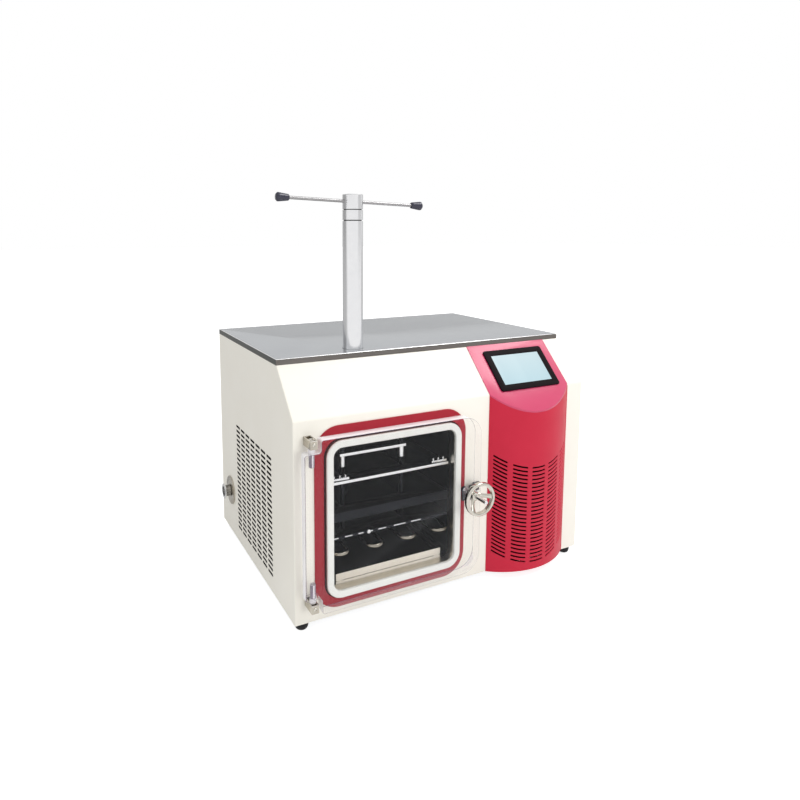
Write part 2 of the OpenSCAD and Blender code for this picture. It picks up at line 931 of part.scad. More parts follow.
// The points on a circle around the press where its column is bolted down
module at_column_bolts() {
    for (a = [45:90:315])
        translate([press_x, press_y, 0]) rotate(a) translate([bolt_circle / 2, 0, 0]) children();
}

module coil_tails(d, y, l) {
    for (x = coil_tail_x) rod_y(x, y, coil_level, d, l);
}

module chamber_shell() {
    color(dark_steel) difference() {
        union() {
            along_y(-mouth_reach, mouth_reach + back_y) chamber_section(chamber_t);
            rod_z(press_x, press_y, roof_z - chamber_t / 2, boss_d, boss_h + chamber_t / 2);
        }
        along_y(-mouth_reach - cut, mouth_reach + cut + chamber_d) chamber_section(0);
        rod_z(press_x, press_y, chamber_high - cut, gland_d + 2 * fixed_fit,
              boss_z - chamber_high + 2 * cut);
        at_column_bolts() translate([0, 0, boss_z - bolt_grip])
            cylinder(d = bolt_d + 2 * fixed_fit, h = bolt_grip + cut);
        rod_y(pipe_x, chamber_d - cut, port_level, port_tube_d + 2 * fixed_fit,
              chamber_t + 2 * cut);
        coil_tails(coil_d + 2 * fixed_fit, chamber_d - cut, chamber_t + 2 * cut);
    }
}

module chamber_insulation() {
    color("#D9D3C0") difference() {
        along_y(foam_y, back_y + foam_t - foam_y) chamber_section(chamber_t + foam_t);
        along_y(foam_y - cut, back_y + face_gap - foam_y + cut) chamber_section(chamber_t + face_gap);
        rod_z(press_x, press_y, roof_z, boss_d + 2 * pass_gap, foam_t + cut);
        rod_y(pipe_x, back_y, port_level, port_tube_d + 2 * pass_gap, foam_t + cut);
        coil_tails(coil_d + 2 * pass_gap, back_y, foam_t + cut);
        for (x = cradle_x)
            translate([x - cradle_w / 2 - pass_gap, foam_y - cut, foam_low - cut])
                cube([cradle_w + 2 * pass_gap, cradle_y + cradle_d + pass_gap - foam_y + cut,
                      foam_t + 2 * cut]);
    }
}

module chamber_cradle() {
    h = chamber_low - chamber_t - floor_z;
    color(steel)
    for (x = cradle_x)
        along_y(cradle_y, cradle_d) translate([x - cradle_w / 2, floor_z]) difference() {
            square([cradle_w, h]);
            translate([cradle_t, cradle_t]) square([cradle_w, h - 2 * cradle_t]);
        }
}

module mouth_gasket() {
    color("#F0EFEA") difference() {
        along_y(-gasket_reach, gasket_reach - surround_t) chamber_section(gasket_w);
        along_y(-gasket_reach - cut, gasket_reach + cut) chamber_section(0);
        along_y(-mouth_reach, mouth_reach + cut) chamber_section(chamber_t);
    }
}

module at_rods() {
    for (x = [-1, 1], y = [-1, 1])
        translate([press_x + x * rod_span_x / 2, press_y + y * rod_span_y / 2, 0]) children();
}

// Shelf plate with its top at the given height, bored for the guide rods
module shelf(top, front_h, fit) {
    difference() {
        translate([chamber_x - shelf_w / 2, shelf_y, 0]) {
            translate([0, 0, top - shelf_t]) cube([shelf_w, shelf_d, shelf_t]);
            translate([0, 0, top - front_h]) cube([shelf_w, apron_t, front_h]);
        }
        at_rods() translate([0, 0, top - shelf_t - cut])
            cylinder(d = rod_d + 2 * fit, h = shelf_t + 2 * cut);
    }
}

module shelf_rails() {
    color(steel)
    for (x = [chamber_left, chamber_right - rail_w])
        translate([x, shelf_y + rail_inset, bottom_level - shelf_t - rail_t])
            cube([rail_w, shelf_d - 2 * rail_inset, rail_t]);
}

module bottom_shelf() {
    color(steel) shelf(bottom_level, shelf_t, fixed_fit);
}

module guide_rods() {
    color(steel) at_rods() translate([0, 0, bottom_level - shelf_t])
        cylinder(d = rod_d, h = chamber_high - bottom_level + shelf_t);
}

module drip_tray() {
    tray_x = coil_x - tray_w / 2 - tray_shift;
    color(steel) {
        difference() {
            translate([tray_x, tray_y, tray_level]) cube([tray_w, tray_d, tray_lip]);
            translate([tray_x + tray_t, tray_y + tray_t, tray_level + tray_t])
                cube([tray_w - 2 * tray_t, tray_d - 2 * tray_t, tray_lip]);
        }
        for (x = [tray_x + runner_inset, tray_x + tray_w - runner_inset - runner_w])
            translate([x, tray_y + runner_y, chamber_low])
                cube([runner_w, tray_d - runner_inset, tray_rise]);
        translate([tray_x, tray_y, chamber_low]) cube([tray_w, tray_skirt_t, tray_rise - tray_slit]);
    }
}

// Half ring of the coil's tube, bulging towards +Y
module half_ring(r, d) {
    rotate_extrude(angle = 180) translate([r, 0]) circle(d = d);
}

module evaporator_coil() {
    run_r = coil_loop / 2;
    run_l = coil_back_y - coil_front_y;
    color("#C9CCD0") {
        for (c = coil_centres) {
            translate([c, coil_front_y, coil_level]) rotate(180) half_ring(run_r, coil_d);
            for (side = [-1, 1])
                rod_y(c + side * run_r, coil_front_y, coil_level, coil_d, run_l);
        }
        for (i = [0:1:coil_bends - 2])
            translate([coil_centres[i] + coil_pitch / 2, coil_back_y, coil_level])
                half_ring(coil_back_r, coil_d);
        coil_tails(coil_d, coil_back_y, coil_tail_end - coil_back_y);
    }
}

module hinge_bracket(z) {
    depth = bracket_proud - door_front;
    x = hinge_x - bracket_w / 2;
    difference() {
        union() {
            difference() {
                translate([x, -depth, z]) cube([bracket_w, depth, bracket_h]);
                translate([x + bracket_t, bracket_t - depth, z + bracket_floor])
                    cube([bracket_w - 2 * bracket_t, depth - 2 * bracket_t, bracket_h]);
            }
            rod_z(hinge_x, hinge_y, z, bracket_boss_d, bracket_h);
        }
        rod_z(hinge_x, hinge_y, z - cut, pin_d + 2 * fixed_fit, bracket_h + 2 * cut);
    }
}

module hinge_brackets() {
    color("#C8C8C4") {
        hinge_bracket(lower_bracket_z);
        hinge_bracket(upper_bracket_z);
    }
}

module hinge_pins() {
    color(steel) {
        rod_z(hinge_x, hinge_y, lower_bracket_z + pin_sink, pin_d,
              lower_notch_z + pin_grip - lower_bracket_z - pin_sink);
        rod_z(hinge_x, hinge_y, upper_notch_z - pin_grip, pin_d,
              upper_bracket_z + bracket_h - pin_sink - upper_notch_z + pin_grip);
    }
}

module latch_keeper() {
    lip_x = latch_x + dog_hub_d / 2 + keeper_gap;
    riser_x = latch_x + dog_l + keeper_gap;
    color(dark_steel) translate([0, 0, latch_h - keeper_h / 2]) {
        translate([riser_x, -keeper_foot_t, 0]) cube([keeper_foot_w, keeper_foot_t, keeper_h]);
        translate([riser_x, keeper_y, 0]) cube([keeper_lip, -keeper_y, keeper_h]);
        translate([lip_x, keeper_y, 0]) cube([riser_x + keeper_lip - lip_x, keeper_lip, keeper_h]);
    }
}

// Square corner minus its rounding, for the corner at the origin pointing to +X +Y
module corner_waste(r) {
    difference() {
        translate([-r, -r]) square(r + cut);
        translate([-r, -r]) circle(r);
    }
}

// Notch at the door's upper left corner, from the door's corner inwards
module notch(depth) {
    difference() {
        translate([-cut, -depth]) square([notch_w + cut, depth + cut]);
        translate([notch_w - notch_r, -depth]) difference() {
            square(notch_r);
            translate([0, notch_r]) circle(notch_r);
        }
    }
    translate([notch_w, 0]) rotate(90) corner_waste(notch_edge_r);
    translate([0, -depth]) rotate(90) corner_waste(notch_edge_r);
}

module door_outline() {
    difference() {
        square([door_w, door_h]);
        translate([door_w, door_h]) corner_waste(door_r);
        translate([door_w, 0]) mirror([0, 1]) corner_waste(door_r);
        translate([0, door_h]) notch(notch_high);
        mirror([0, 1]) notch(notch_low);
    }
}

module door() {
    color([0.85, 0.92, 0.95, 0.3]) difference() {
        along_y(door_front, door_t) translate([door_x, door_low]) door_outline();
        translate([door_x, 0, door_low - cut]) linear_extrude(door_h + 2 * cut) {
            translate([0, door_front]) rotate(180) corner_waste(door_front_r);
            translate([0, door_front + door_t]) rotate(90) corner_waste(door_back_r);
        }
        rod_z(hinge_x, hinge_y, lower_notch_z - cut, bush_d + 2 * fixed_fit, bush_hole_l + cut);
        rod_z(hinge_x, hinge_y, upper_notch_z - bush_hole_l, bush_d + 2 * fixed_fit,
              bush_hole_l + cut);
        rod_y(latch_x, door_front - cut, latch_h, latch_bush_d + 2 * fixed_fit, door_t + 2 * cut);
    }
}

module hinge_bush() {
    difference() {
        union() {
            translate([0, 0, -bush_flange]) cylinder(d = bush_flange_d, h = bush_flange);
            cylinder(d = bush_d, h = bush_l_in);
        }
        translate([0, 0, -bush_flange - cut])
            cylinder(d = pin_d + 2 * run_fit, h = bush_flange + bush_l_in + 2 * cut);
    }
}

module hinge_bushes() {
    color("#9FB0AE") {
        translate([hinge_x, hinge_y, lower_notch_z]) hinge_bush();
        translate([hinge_x, hinge_y, upper_notch_z]) mirror([0, 0, 1]) hinge_bush();
    }
}

module latch_bush() {
    color(steel) difference() {
        union() {
            rod_y(latch_x, door_front - bush_lip, latch_h, latch_lip_d, bush_lip);
            rod_y(latch_x, door_front - bush_lip, latch_h, latch_bush_d,
                  bush_lip + door_t - face_gap);
        }
        rod_y(latch_x, door_front - bush_lip - cut, latch_h, spindle_d + 2 * run_fit,
              bush_lip + door_t + 2 * cut);
    }
}

module latch_spindle() {
    color(steel) {
        rod_y(latch_x, spindle_chamfer - spindle_reach, latch_h, spindle_d,
              spindle_reach - spindle_chamfer - spindle_stub);
        translate([latch_x, -spindle_reach, latch_h]) rotate([-90, 0, 0])
            cylinder(d1 = spindle_d - 2 * spindle_chamfer, d2 = spindle_d, h = spindle_chamfer);
    }
}

module latch_dog() {
    color(dark_steel) difference() {
        along_y(dog_y, dog_t) translate([latch_x, latch_h]) {
            circle(d = dog_hub_d);
            translate([-dog_w / 2, -dog_l]) square([dog_w, dog_l]);
        }
        rod_y(latch_x, dog_y - cut, latch_h, spindle_d + 2 * fixed_fit, dog_t + 2 * cut);
    }
}

module thrust_washer() {
    color(steel) difference() {
        rod_y(latch_x, washer_y, latch_h, washer_d, washer_t);
        rod_y(latch_x, washer_y - cut, latch_h, spindle_d + 2 * run_fit, washer_t + 2 * cut);
    }
}

module handwheel() {
    mid_r = (wheel_d - rim_w) / 2;
    bevel = 2;
    rise = wheel_dish + rim_h / 3 - hub_l / 2;
    run = mid_r - hub_d / 4;
    color("#D5D6D8") translate([latch_x, washer_y, latch_h]) rotate([90, 0, 0]) difference() {
        union() {
            cylinder(d = hub_d, h = hub_l);
            translate([0, 0, wheel_dish]) rotate_extrude() translate([wheel_d / 2 - rim_w, 0])
                polygon([
                    [bevel, 0], [rim_w - bevel, 0], [rim_w, bevel], [rim_w, rim_h - bevel],
                    [rim_w - bevel, rim_h], [bevel, rim_h], [0, rim_h - bevel], [0, bevel]
                ]);
            for (i = [0:spokes - 1])
                rotate(i * 360 / spokes) translate([hub_d / 4, 0, hub_l / 2])
                    rotate([0, 90 - atan2(rise, run), 0]) cylinder(d = spoke_d, h = norm([rise, run]));
        }
        translate([0, 0, -cut]) cylinder(d = spindle_d + 2 * run_fit, h = wheel_dish + rim_h);
    }
}

module press_column() {
    color("#E4E5E6") difference() {
        union() {
            rod_z(press_x, press_y, boss_z, boss_d, column_flange_h);
            rod_z(press_x, press_y, boss_z, column_d, head_z - face_gap - boss_z);
        }
        rod_z(press_x, press_y, boss_z - cut, column_bore, head_z - boss_z + 2 * cut);
        at_column_bolts() translate([0, 0, boss_z - cut])
            cylinder(d = bolt_d + 2 * fixed_fit, h = column_flange_h + 2 * cut);
    }
}

module column_bolts() {
    color(steel) at_column_bolts() {
        translate([0, 0, boss_z - bolt_grip + bolt_end_gap])
            cylinder(d = bolt_d, h = bolt_grip - bolt_end_gap + column_flange_h);
        translate([0, 0, boss_z + column_flange_h]) cylinder(d = bolt_head_d, h = bolt_d);
    }
}

module column_bush() {
    low = collar_z + collar_h + face_gap;
    color("#B08A4A") difference() {
        rod_z(press_x, press_y, low, column_bore - 2 * fixed_fit, head_z - face_gap - low);
        rod_z(press_x, press_y, low - cut, screw_d + 2 * run_fit, head_z - low + 2 * cut);
    }
}

module ram_gland() {
    bore_r = ram_d / 2 + run_fit;
    color("#B08A4A") difference() {
        rod_z(press_x, press_y, chamber_high, gland_d, boss_z - chamber_high);
        rod_z(press_x, press_y, chamber_high - cut, 2 * bore_r, boss_z - chamber_high + 2 * cut);
        for (z = seal_levels)
            rod_z(press_x, press_y, z - seal_d / 2 - fixed_fit, 2 * (bore_r + seal_d + fixed_fit),
                  seal_d + 2 * fixed_fit);
    }
}

module ram_seals() {
    color(black)
    for (z = seal_levels)
        translate([press_x, press_y, z]) rotate_extrude()
            translate([ram_d / 2 + run_fit + seal_d / 2, 0]) circle(d = seal_d);
}

// Moves to the T-bar's middle, with Z along the bar
module on_bar() {
    translate([press_x, press_y, bar_z]) rotate([0, 90 + bar_tilt, 0]) children();
}

module press_head() {
    bevel = 1.2;
    neck_r = column_d / 2 - groove_deep;
    groove_low = head_h - groove_z - groove_w / 2;
    color("#E4E5E6") difference() {
        translate([press_x, press_y, head_z]) rotate_extrude() polygon([
            [0, 0],
            [neck_r, 0],
            [neck_r, groove_w],
            [column_d / 2, groove_w],
            [column_d / 2, groove_low],
            [neck_r, groove_low],
            [neck_r, groove_low + groove_w],
            [column_d / 2, groove_low + groove_w],
            [column_d / 2, head_h - bevel],
            [column_d / 2 - bevel, head_h],
            [0, head_h]
        ]);
        rod_z(press_x, press_y, head_z - cut, screw_d + 2 * fixed_fit, screw_top - head_z + cut);
        on_bar() translate([0, 0, -column_d]) cylinder(d = bar_d + 2 * fixed_fit, h = 2 * column_d);
    }
}

module lead_screw() {
    color(steel) {
        rod_z(press_x, press_y, screw_low, screw_d, screw_top - screw_low);
        rod_z(press_x, press_y, collar_z, collar_d, collar_h);
    }
}

module t_bar() {
    l = bar_span - 2 * knob_l + 2 * knob_grip;
    color("#D5D6D8") on_bar() translate([0, 0, -l / 2]) cylinder(d = bar_d, h = l);
}

module knob() {
    bevel = 3;
    difference() {
        rotate_extrude() polygon([
            [0, 0],
            [knob_neck_d / 2 - knob_chamfer, 0],
            [knob_neck_d / 2, knob_chamfer],
            [knob_d / 2, knob_l - 2 * bevel],
            [knob_d / 2, knob_l - bevel],
            [knob_d / 2 - bevel, knob_l],
            [0, knob_l]
        ]);
        translate([0, 0, -cut]) cylinder(d = bar_d + 2 * fixed_fit, h = knob_grip + cut);
    }
}

module bar_knobs() {
    color("#232337") on_bar() {
        translate([0, 0, bar_span / 2 - knob_l]) knob();
        mirror([0, 0, 1]) translate([0, 0, bar_span / 2 - knob_l]) knob();
    }
}

module press_ram() {
    color(steel) difference() {
        rod_z(press_x, press_y, plate_level, ram_d, ram_top - plate_level);
        rod_z(press_x, press_y, ram_bore_z, screw_d + 2 * run_fit, ram_top - ram_bore_z + cut);
    }
}

module press_plate() {
    color(steel) difference() {
        translate([press_x - plate_w / 2, press_y - plate_d / 2, plate_level - plate_t])
            cube([plate_w, plate_d, plate_t]);
        at_rods() translate([0, 0, plate_level - plate_t - cut])
            cylinder(d = rod_d + 2 * run_fit, h = plate_t + 2 * cut);
    }
}

module upper_shelf() {
    color(steel) shelf(upper_level, shelf_t, run_fit);
}

module shelf_fittings() {
    color(steel)
    for (side = [-1, 1])
        translate([chamber_x + side * (shelf_w / 2 - fitting_inset - fitting_w / 2) - fitting_w / 2,
                   shelf_y + fitting_inset, upper_level]) {
            cube([fitting_w, fitting_d, fitting_h]);
            for (i = [0:2])
                translate([fitting_w * (i + 0.5) / 3, fitting_d / 2, fitting_h])
                    cylinder(d = peg_d, h = peg_h);
        }
}

module middle_shelf() {
    color(dark_steel) shelf(middle_level, apron_h, run_fit);
}

module vacuum_port() {
    r = port_tube_d / 2;
    slant = (port_flange_d / 2 - r) * tan(flange_slant);
    l = port_reach + port_inner_x;
    color("#D5D6D8") translate([-port_reach, port_y, port_level]) rotate([0, 90, 0]) rotate_extrude()
        polygon([
            [port_bore / 2, 0],
            [port_flange_d / 2, 0],
            [port_flange_d / 2, port_flange_t],
            [r, port_flange_t + slant],
            [r, l],
            [port_bore / 2, l]
        ]);
}

module port_escutcheon() {
    color("#D8D2C8") difference() {
        rod_x(-escutcheon_t, port_y, port_level, escutcheon_d, escutcheon_t);
        rod_x(-escutcheon_t - cut, port_y, port_level, port_tube_d + 2 * fixed_fit,
              escutcheon_t + 2 * cut);
    }
}

// Path of the vacuum pipe as a solid of the given diameter, longer by extra at both ends
module pipe_path(d, extra) {
    bend_x = pipe_x - pipe_bend_r;
    bend_y = port_y - pipe_bend_r;
    rod_x(port_inner_x - extra, port_y, port_level, d, bend_x - port_inner_x + extra);
    translate([bend_x, bend_y, port_level]) rotate_extrude(angle = 90)
        translate([pipe_bend_r, 0]) circle(d = d);
    rod_y(pipe_x, chamber_d - extra, port_level, d, bend_y - chamber_d + extra);
}

module vacuum_pipe() {
    color(steel) difference() {
        pipe_path(port_tube_d, 0);
        pipe_path(port_bore, cut);
    }
}

module compressor() {
    r = compressor_d / 2;
    corner = compressor_round;
    color(black) {
        translate([compressor_x, compressor_y, floor_z + mount_h + foot_plate_t]) {
            rotate_extrude() {
                square([r - corner, compressor_h]);
                translate([0, corner]) square([r, compressor_h - 2 * corner]);
                for (z = [corner, compressor_h - corner]) translate([r - corner, z]) circle(corner);
            }
            translate([0, 0, compressor_h / 2]) cylinder(r = r + seam_w, h = seam_h);
        }
        translate([compressor_x - foot_plate_w / 2, compressor_y - foot_plate_d / 2, floor_z + mount_h])
            cube([foot_plate_w, foot_plate_d, foot_plate_t + foot_plate_weld]);
        rod_x(suction_x, compressor_y, coil_level, stub_d, compressor_x - suction_x);
        rod_y(compressor_x, discharge_y, discharge_z, stub_d, compressor_y - discharge_y);
    }
}

module compressor_mounts() {
    color(black)
    for (x = [-1, 1], y = [-1, 1])
        rod_z(compressor_x + x * (foot_plate_w / 2 - mount_inset),
              compressor_y + y * (foot_plate_d / 2 - mount_inset), floor_z, mount_d, mount_h);
}

module condenser() {
    x = fascia_mid - condenser_w / 2;
    pitch = (condenser_h - 2 * condenser_edge) / (condenser_tubes - 1);
    color("#B9BDC2") {
        for (i = [0:condenser_fins - 1])
            translate([x + i * (condenser_w - fin_t) / (condenser_fins - 1), condenser_y, floor_z])
                cube([fin_t, condenser_d, condenser_h]);
        for (z = [floor_z, floor_z + condenser_h - condenser_rail])
            translate([x, condenser_y, z]) cube([condenser_w, condenser_d, condenser_rail]);
        for (i = [0:condenser_tubes - 1]) {
            end = i == 0 || i == condenser_tubes - 1 ? condenser_stub : 0;
            rod_x(x - end, condenser_mid_y, condenser_low_z + i * pitch, condenser_tube_d,
                  condenser_w + end);
        }
        for (i = [0:1:condenser_tubes - 2])
            translate([i % 2 == 0 ? x + condenser_w : x, condenser_mid_y,
                       condenser_low_z + (i + 0.5) * pitch])
                rotate([90, i % 2 == 0 ? 90 : -90, 0]) half_ring(pitch / 2, condenser_tube_d);
    }
}

module fan_shroud() {
    color(black) difference() {
        translate([fascia_mid - shroud_w / 2, shroud_y, floor_z]) {
            difference() {
                cube([shroud_w, shroud_d, shroud_w]);
                translate([shroud_w / 2, -cut, shroud_w / 2]) rotate([-90, 0, 0])
                    cylinder(d = fan_d + 2 * fan_gap, h = shroud_d + 2 * cut, $fn = 120);
            }
            for (z = [-1, 1])
                translate([arm_inset, shroud_d - arm_t, shroud_w / 2 + z * arm_rise - arm_w / 2])
                    cube([shroud_w - 2 * arm_inset, arm_t, arm_w]);
            translate([shroud_w / 2, shroud_d - arm_t, shroud_w / 2]) rotate([-90, 0, 0])
                cylinder(d = motor_d, h = arm_t);
        }
        rod_y(fascia_mid, shroud_y, fan_z, fan_shaft_d + 2 * shaft_gap, shroud_d + cut);
    }
}

module fan_motor() {
    color(dark_steel) difference() {
        rod_y(fascia_mid, shroud_y + shroud_d, fan_z, motor_d, motor_l);
        rod_y(fascia_mid, shroud_y + shroud_d - cut, fan_z, fan_shaft_d + 2 * run_fit,
              motor_bore_l + cut);
    }
}

module fan_rotor() {
    start_y = shroud_y + hub_front_gap;
    hub_depth = shroud_d - arm_t - hub_front_gap - hub_back_gap;
    shaft_end = shroud_y + shroud_d + motor_bore_l - shaft_end_gap;
    blade_l = (fan_d - fan_hub_d) / 2 + blade_root - blade_tip_gap;
    color("#303438") {
        rod_y(fascia_mid, start_y, fan_z, fan_hub_d, hub_depth);
        rod_y(fascia_mid, start_y, fan_z, fan_shaft_d, shaft_end - start_y);
        for (i = [0:fan_blades - 1])
            translate([fascia_mid, start_y + hub_depth / 2, fan_z]) rotate([0, i * 360 / fan_blades, 0])
                translate([fan_hub_d / 2 - blade_root, 0, 0]) rotate([blade_pitch, 0, 0])
                    translate([0, -blade_t / 2, -blade_w / 2]) cube([blade_l, blade_t, blade_w]);
    }
}

// Direction of the run that ends at point i
function line_way(points, i) = (points[i] - points[i - 1]) / norm(points[i] - points[i - 1]);

// Matrix that moves the origin to p and the axes onto x, y and z
function frame_at(p, x, y, z) = [for (i = [0:2]) [x[i], y[i], z[i], p[i]]];

// A tube along square turns, with a quarter bend at each of them
module line_run(points) {
    last = len(points) - 1;
    for (i = [1:last]) {
        way = line_way(points, i);
        start = points[i - 1] + (i == 1 ? 0 : line_bend_r) * way;
        end = points[i] - (i == last ? 0 : line_bend_r) * way;
        turn = way[2] < 0 ? [180, 0, 0] : [-90 * way[1], 90 * way[0], 0];
        translate(start) rotate(turn) cylinder(d = line_d, h = norm(end - start));
    }
    for (i = [1:1:last - 1]) {
        before = line_way(points, i);
        after = line_way(points, i + 1);
        middle = points[i] + line_bend_r * (after - before);
        multmatrix(frame_at(middle, -after, before, cross(before, after)))
            rotate_extrude(angle = 90) translate([line_bend_r, 0]) circle(d = line_d);
    }
}

module refrigerant_lines() {
    left = fascia_mid - condenser_w / 2 - condenser_stub;
    color("#B87348") {
        line_run([
            [coil_tail_x[1], coil_tail_end, coil_level],
            [coil_tail_x[1], compressor_y, coil_level],
            [suction_x, compressor_y, coil_level]
        ]);
        line_run([
            [compressor_x, discharge_y, discharge_z],
            [compressor_x, line_back_y, discharge_z],
            [left - gas_offset, line_back_y, discharge_z],
            [left - gas_offset, condenser_mid_y, discharge_z],
            [left - gas_offset, condenser_mid_y, condenser_high_z],
            [left, condenser_mid_y, condenser_high_z]
        ]);
        line_run([
            [left, condenser_mid_y, condenser_low_z],
            [left - liquid_offset, condenser_mid_y, condenser_low_z],
            [left - liquid_offset, liquid_y, condenser_low_z],
            [coil_tail_x[0], liquid_y, condenser_low_z],
            [coil_tail_x[0], liquid_y, coil_level],
            [coil_tail_x[0], coil_tail_end, coil_level]
        ]);
    }
}

// Box centred in X and Z, from y backwards
module centred_box(w, d, h, y) {
    translate([-w / 2, y, -h / 2]) cube([w, d, h]);
}

module power_inlet() {
    color(black) {
        translate([inlet_x, cab_d, inlet_z]) {
            difference() {
                union() {
                    centred_box(inlet_w + 2 * inlet_lip, inlet_lip_t, inlet_h + 2 * inlet_lip, 0);
                    centred_box(inlet_w, inlet_depth, inlet_h, -inlet_depth);
                }
                centred_box(inlet_w - 2 * inlet_side, inlet_depth + inlet_lip_t, inlet_h - 2 * inlet_rim,
                            inlet_floor - inlet_depth);
            }
            for (p = [[0, 7], [-6, -5], [6, -5]])
                translate([p[0], 0, p[1]])
                    centred_box(blade_pin_w, blade_pin_l, blade_pin_h, inlet_floor - 1 - inlet_depth);
        }
        translate([inlet_x, cab_d, switch_z]) difference() {
            union() {
                centred_box(switch_w + 2 * switch_lip, switch_lip_t, switch_h + 2 * switch_lip, 0);
                centred_box(switch_w, switch_depth, switch_h, -switch_depth);
            }
            centred_box(rocker_w + 2 * rocker_side_gap, switch_depth + cut, rocker_h + 2 * rocker_end_gap,
                        -switch_well);
            rotate([0, 90, 0]) translate([0, rocker_y, -rocker_pin_l / 2 - rocker_pin_gap])
                cylinder(d = rocker_pin_d + 2 * run_fit, h = rocker_pin_l + 2 * rocker_pin_gap);
        }
    }
}

module power_switch() {
    color("#303438") translate([inlet_x, cab_d + rocker_y, switch_z]) rotate([rocker_tilt, 0, 0]) {
        centred_box(rocker_w, rocker_depth, rocker_h, -rocker_sink);
        rotate([0, 90, 0]) translate([0, 0, -rocker_pin_l / 2])
            cylinder(d = rocker_pin_d, h = rocker_pin_l);
    }
}

module rear_screws() {
    color(steel)
    for (x = [flange_w / 2, cab_w - flange_w / 2], z = rear_screw_levels) {
        rod_y(x, cab_d - 2 * sheet_t - screw_tip_l, z, rear_screw_d, 2 * sheet_t + screw_tip_l);
        rod_y(x, cab_d, z, rear_screw_head_d, rear_screw_head_t);
    }
}

placed() base_pan();
placed() feet();
placed() front_panel();
placed() left_side_panel();
placed() right_side_panel();
placed() rear_panel();
placed() worktop();
placed() fascia();
placed() console();
placed() screen_bezel();
placed() display();
placed() control_box();
placed() mouth_surround();
placed() chamber_shell();
placed() chamber_insulation();
placed() chamber_cradle();
placed() mouth_gasket();
placed() shelf_rails();
placed() bottom_shelf();
placed() guide_rods();
placed() drip_tray();
placed() evaporator_coil();
placed() hinge_brackets();
placed() hinge_pins();
placed() latch_keeper();
placed() door();
placed() hinge_bushes();
placed() latch_bush();
placed() latch_spindle();
placed() latch_dog();
placed() thrust_washer();
placed() handwheel();
placed() press_column();
placed() column_bolts();
placed() column_bush();
placed() ram_gland();
placed() ram_seals();
placed() press_head();
placed() lead_screw();
placed() t_bar();
placed() bar_knobs();
placed() press_ram();
placed() press_plate();
placed() upper_shelf();
placed() shelf_fittings();
placed() middle_shelf();
placed() vacuum_port();
placed() port_escutcheon();
placed() vacuum_pipe();
placed() compressor();
placed() compressor_mounts();
placed() condenser();
placed() fan_shroud();
placed() fan_motor();
placed() fan_rotor();
placed() refrigerant_lines();
placed() power_inlet();
placed() power_switch();
placed() rear_screws();
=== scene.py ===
import bmesh
import bpy
import json
import math
from mathutils import Matrix, Vector


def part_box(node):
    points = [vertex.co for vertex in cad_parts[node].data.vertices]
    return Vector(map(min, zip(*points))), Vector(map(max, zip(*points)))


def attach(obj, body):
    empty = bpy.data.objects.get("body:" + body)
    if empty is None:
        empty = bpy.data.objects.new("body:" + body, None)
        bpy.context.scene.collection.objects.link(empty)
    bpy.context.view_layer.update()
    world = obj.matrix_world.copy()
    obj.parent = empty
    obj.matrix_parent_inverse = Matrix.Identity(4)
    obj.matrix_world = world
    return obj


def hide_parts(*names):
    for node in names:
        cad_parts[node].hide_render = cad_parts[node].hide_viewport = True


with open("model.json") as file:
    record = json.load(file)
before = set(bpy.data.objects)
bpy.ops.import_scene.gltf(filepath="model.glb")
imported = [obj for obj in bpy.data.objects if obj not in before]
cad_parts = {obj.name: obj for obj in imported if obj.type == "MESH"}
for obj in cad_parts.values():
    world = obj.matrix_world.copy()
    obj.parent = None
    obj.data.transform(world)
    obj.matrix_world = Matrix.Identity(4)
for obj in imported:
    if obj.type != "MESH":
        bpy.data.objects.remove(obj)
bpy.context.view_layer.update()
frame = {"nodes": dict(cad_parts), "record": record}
nodes = frame["nodes"]
mm = 0.001
shownNodes = set(nodes)


def linear(hexColour):
    # sRGB hex to the linear colour that the shaders take
    parts = [int(hexColour[i:i + 2], 16) / 255 for i in (1, 3, 5)]
    return tuple(c / 12.92 if c < 0.04045 else ((c + 0.055) / 1.055) ** 2.4 for c in parts) + (1.0,)


def addNode(tree, kind, links=None, values=None, **settings):
    node = tree.nodes.new(kind)
    for name, value in settings.items():
        setattr(node, name, value)
    for key, value in (values or {}).items():
        node.inputs[key].default_value = value
    for key, source in (links or {}).items():
        tree.links.new(source, node.inputs[key])
    return node


def wire(*parts, **settings):
    # A node of which only the first output is used
    return addNode(*parts, **settings).outputs[0]


def newMaterial(name):
    material = bpy.data.materials.new(name)
    material.use_nodes = True
    material.node_tree.nodes.clear()
    return material, material.node_tree


def closeMaterial(tree, shader):
    addNode(tree, "ShaderNodeOutputMaterial", {"Surface": shader.outputs[0]})


# ---- camera ----
cameraSettings = {
    "place": (-0.8128, -1.4081, 0.8357),
    "turnRight": 26.44,
    "pitchDown": 6.85,
    "lens": 28.72,
    "shiftX": 0.0522,
    "shiftY": -0.1152,
}


def makeCamera(s):
    data = bpy.data.cameras.new("camera")
    data.lens = s["lens"]
    data.shift_x = s["shiftX"]
    data.shift_y = s["shiftY"]
    data.clip_start = 0.05
    camera = bpy.data.objects.new("camera", data)
    camera.location = s["place"]
    camera.rotation_euler = (math.radians(90 - s["pitchDown"]), 0, math.radians(-s["turnRight"]))
    bpy.context.scene.collection.objects.link(camera)
    bpy.context.scene.camera = camera


makeCamera(cameraSettings)
print("camera placed")


# ---- finishes ----
acrylicIor = 1.49
smoothest = 0.02


def textureSpace(tree, grain=None):
    # Object coordinates, stretched along the grain if there is one
    place = addNode(tree, "ShaderNodeTexCoord").outputs["Object"]
    if grain is None:
        return place
    return wire(tree, "ShaderNodeMapping", {"Vector": place}, {"Scale": grain})


def noise(tree, place, scale, detail):
    return wire(tree, "ShaderNodeTexNoise", {"Vector": place}, {"Scale": scale, "Detail": detail})


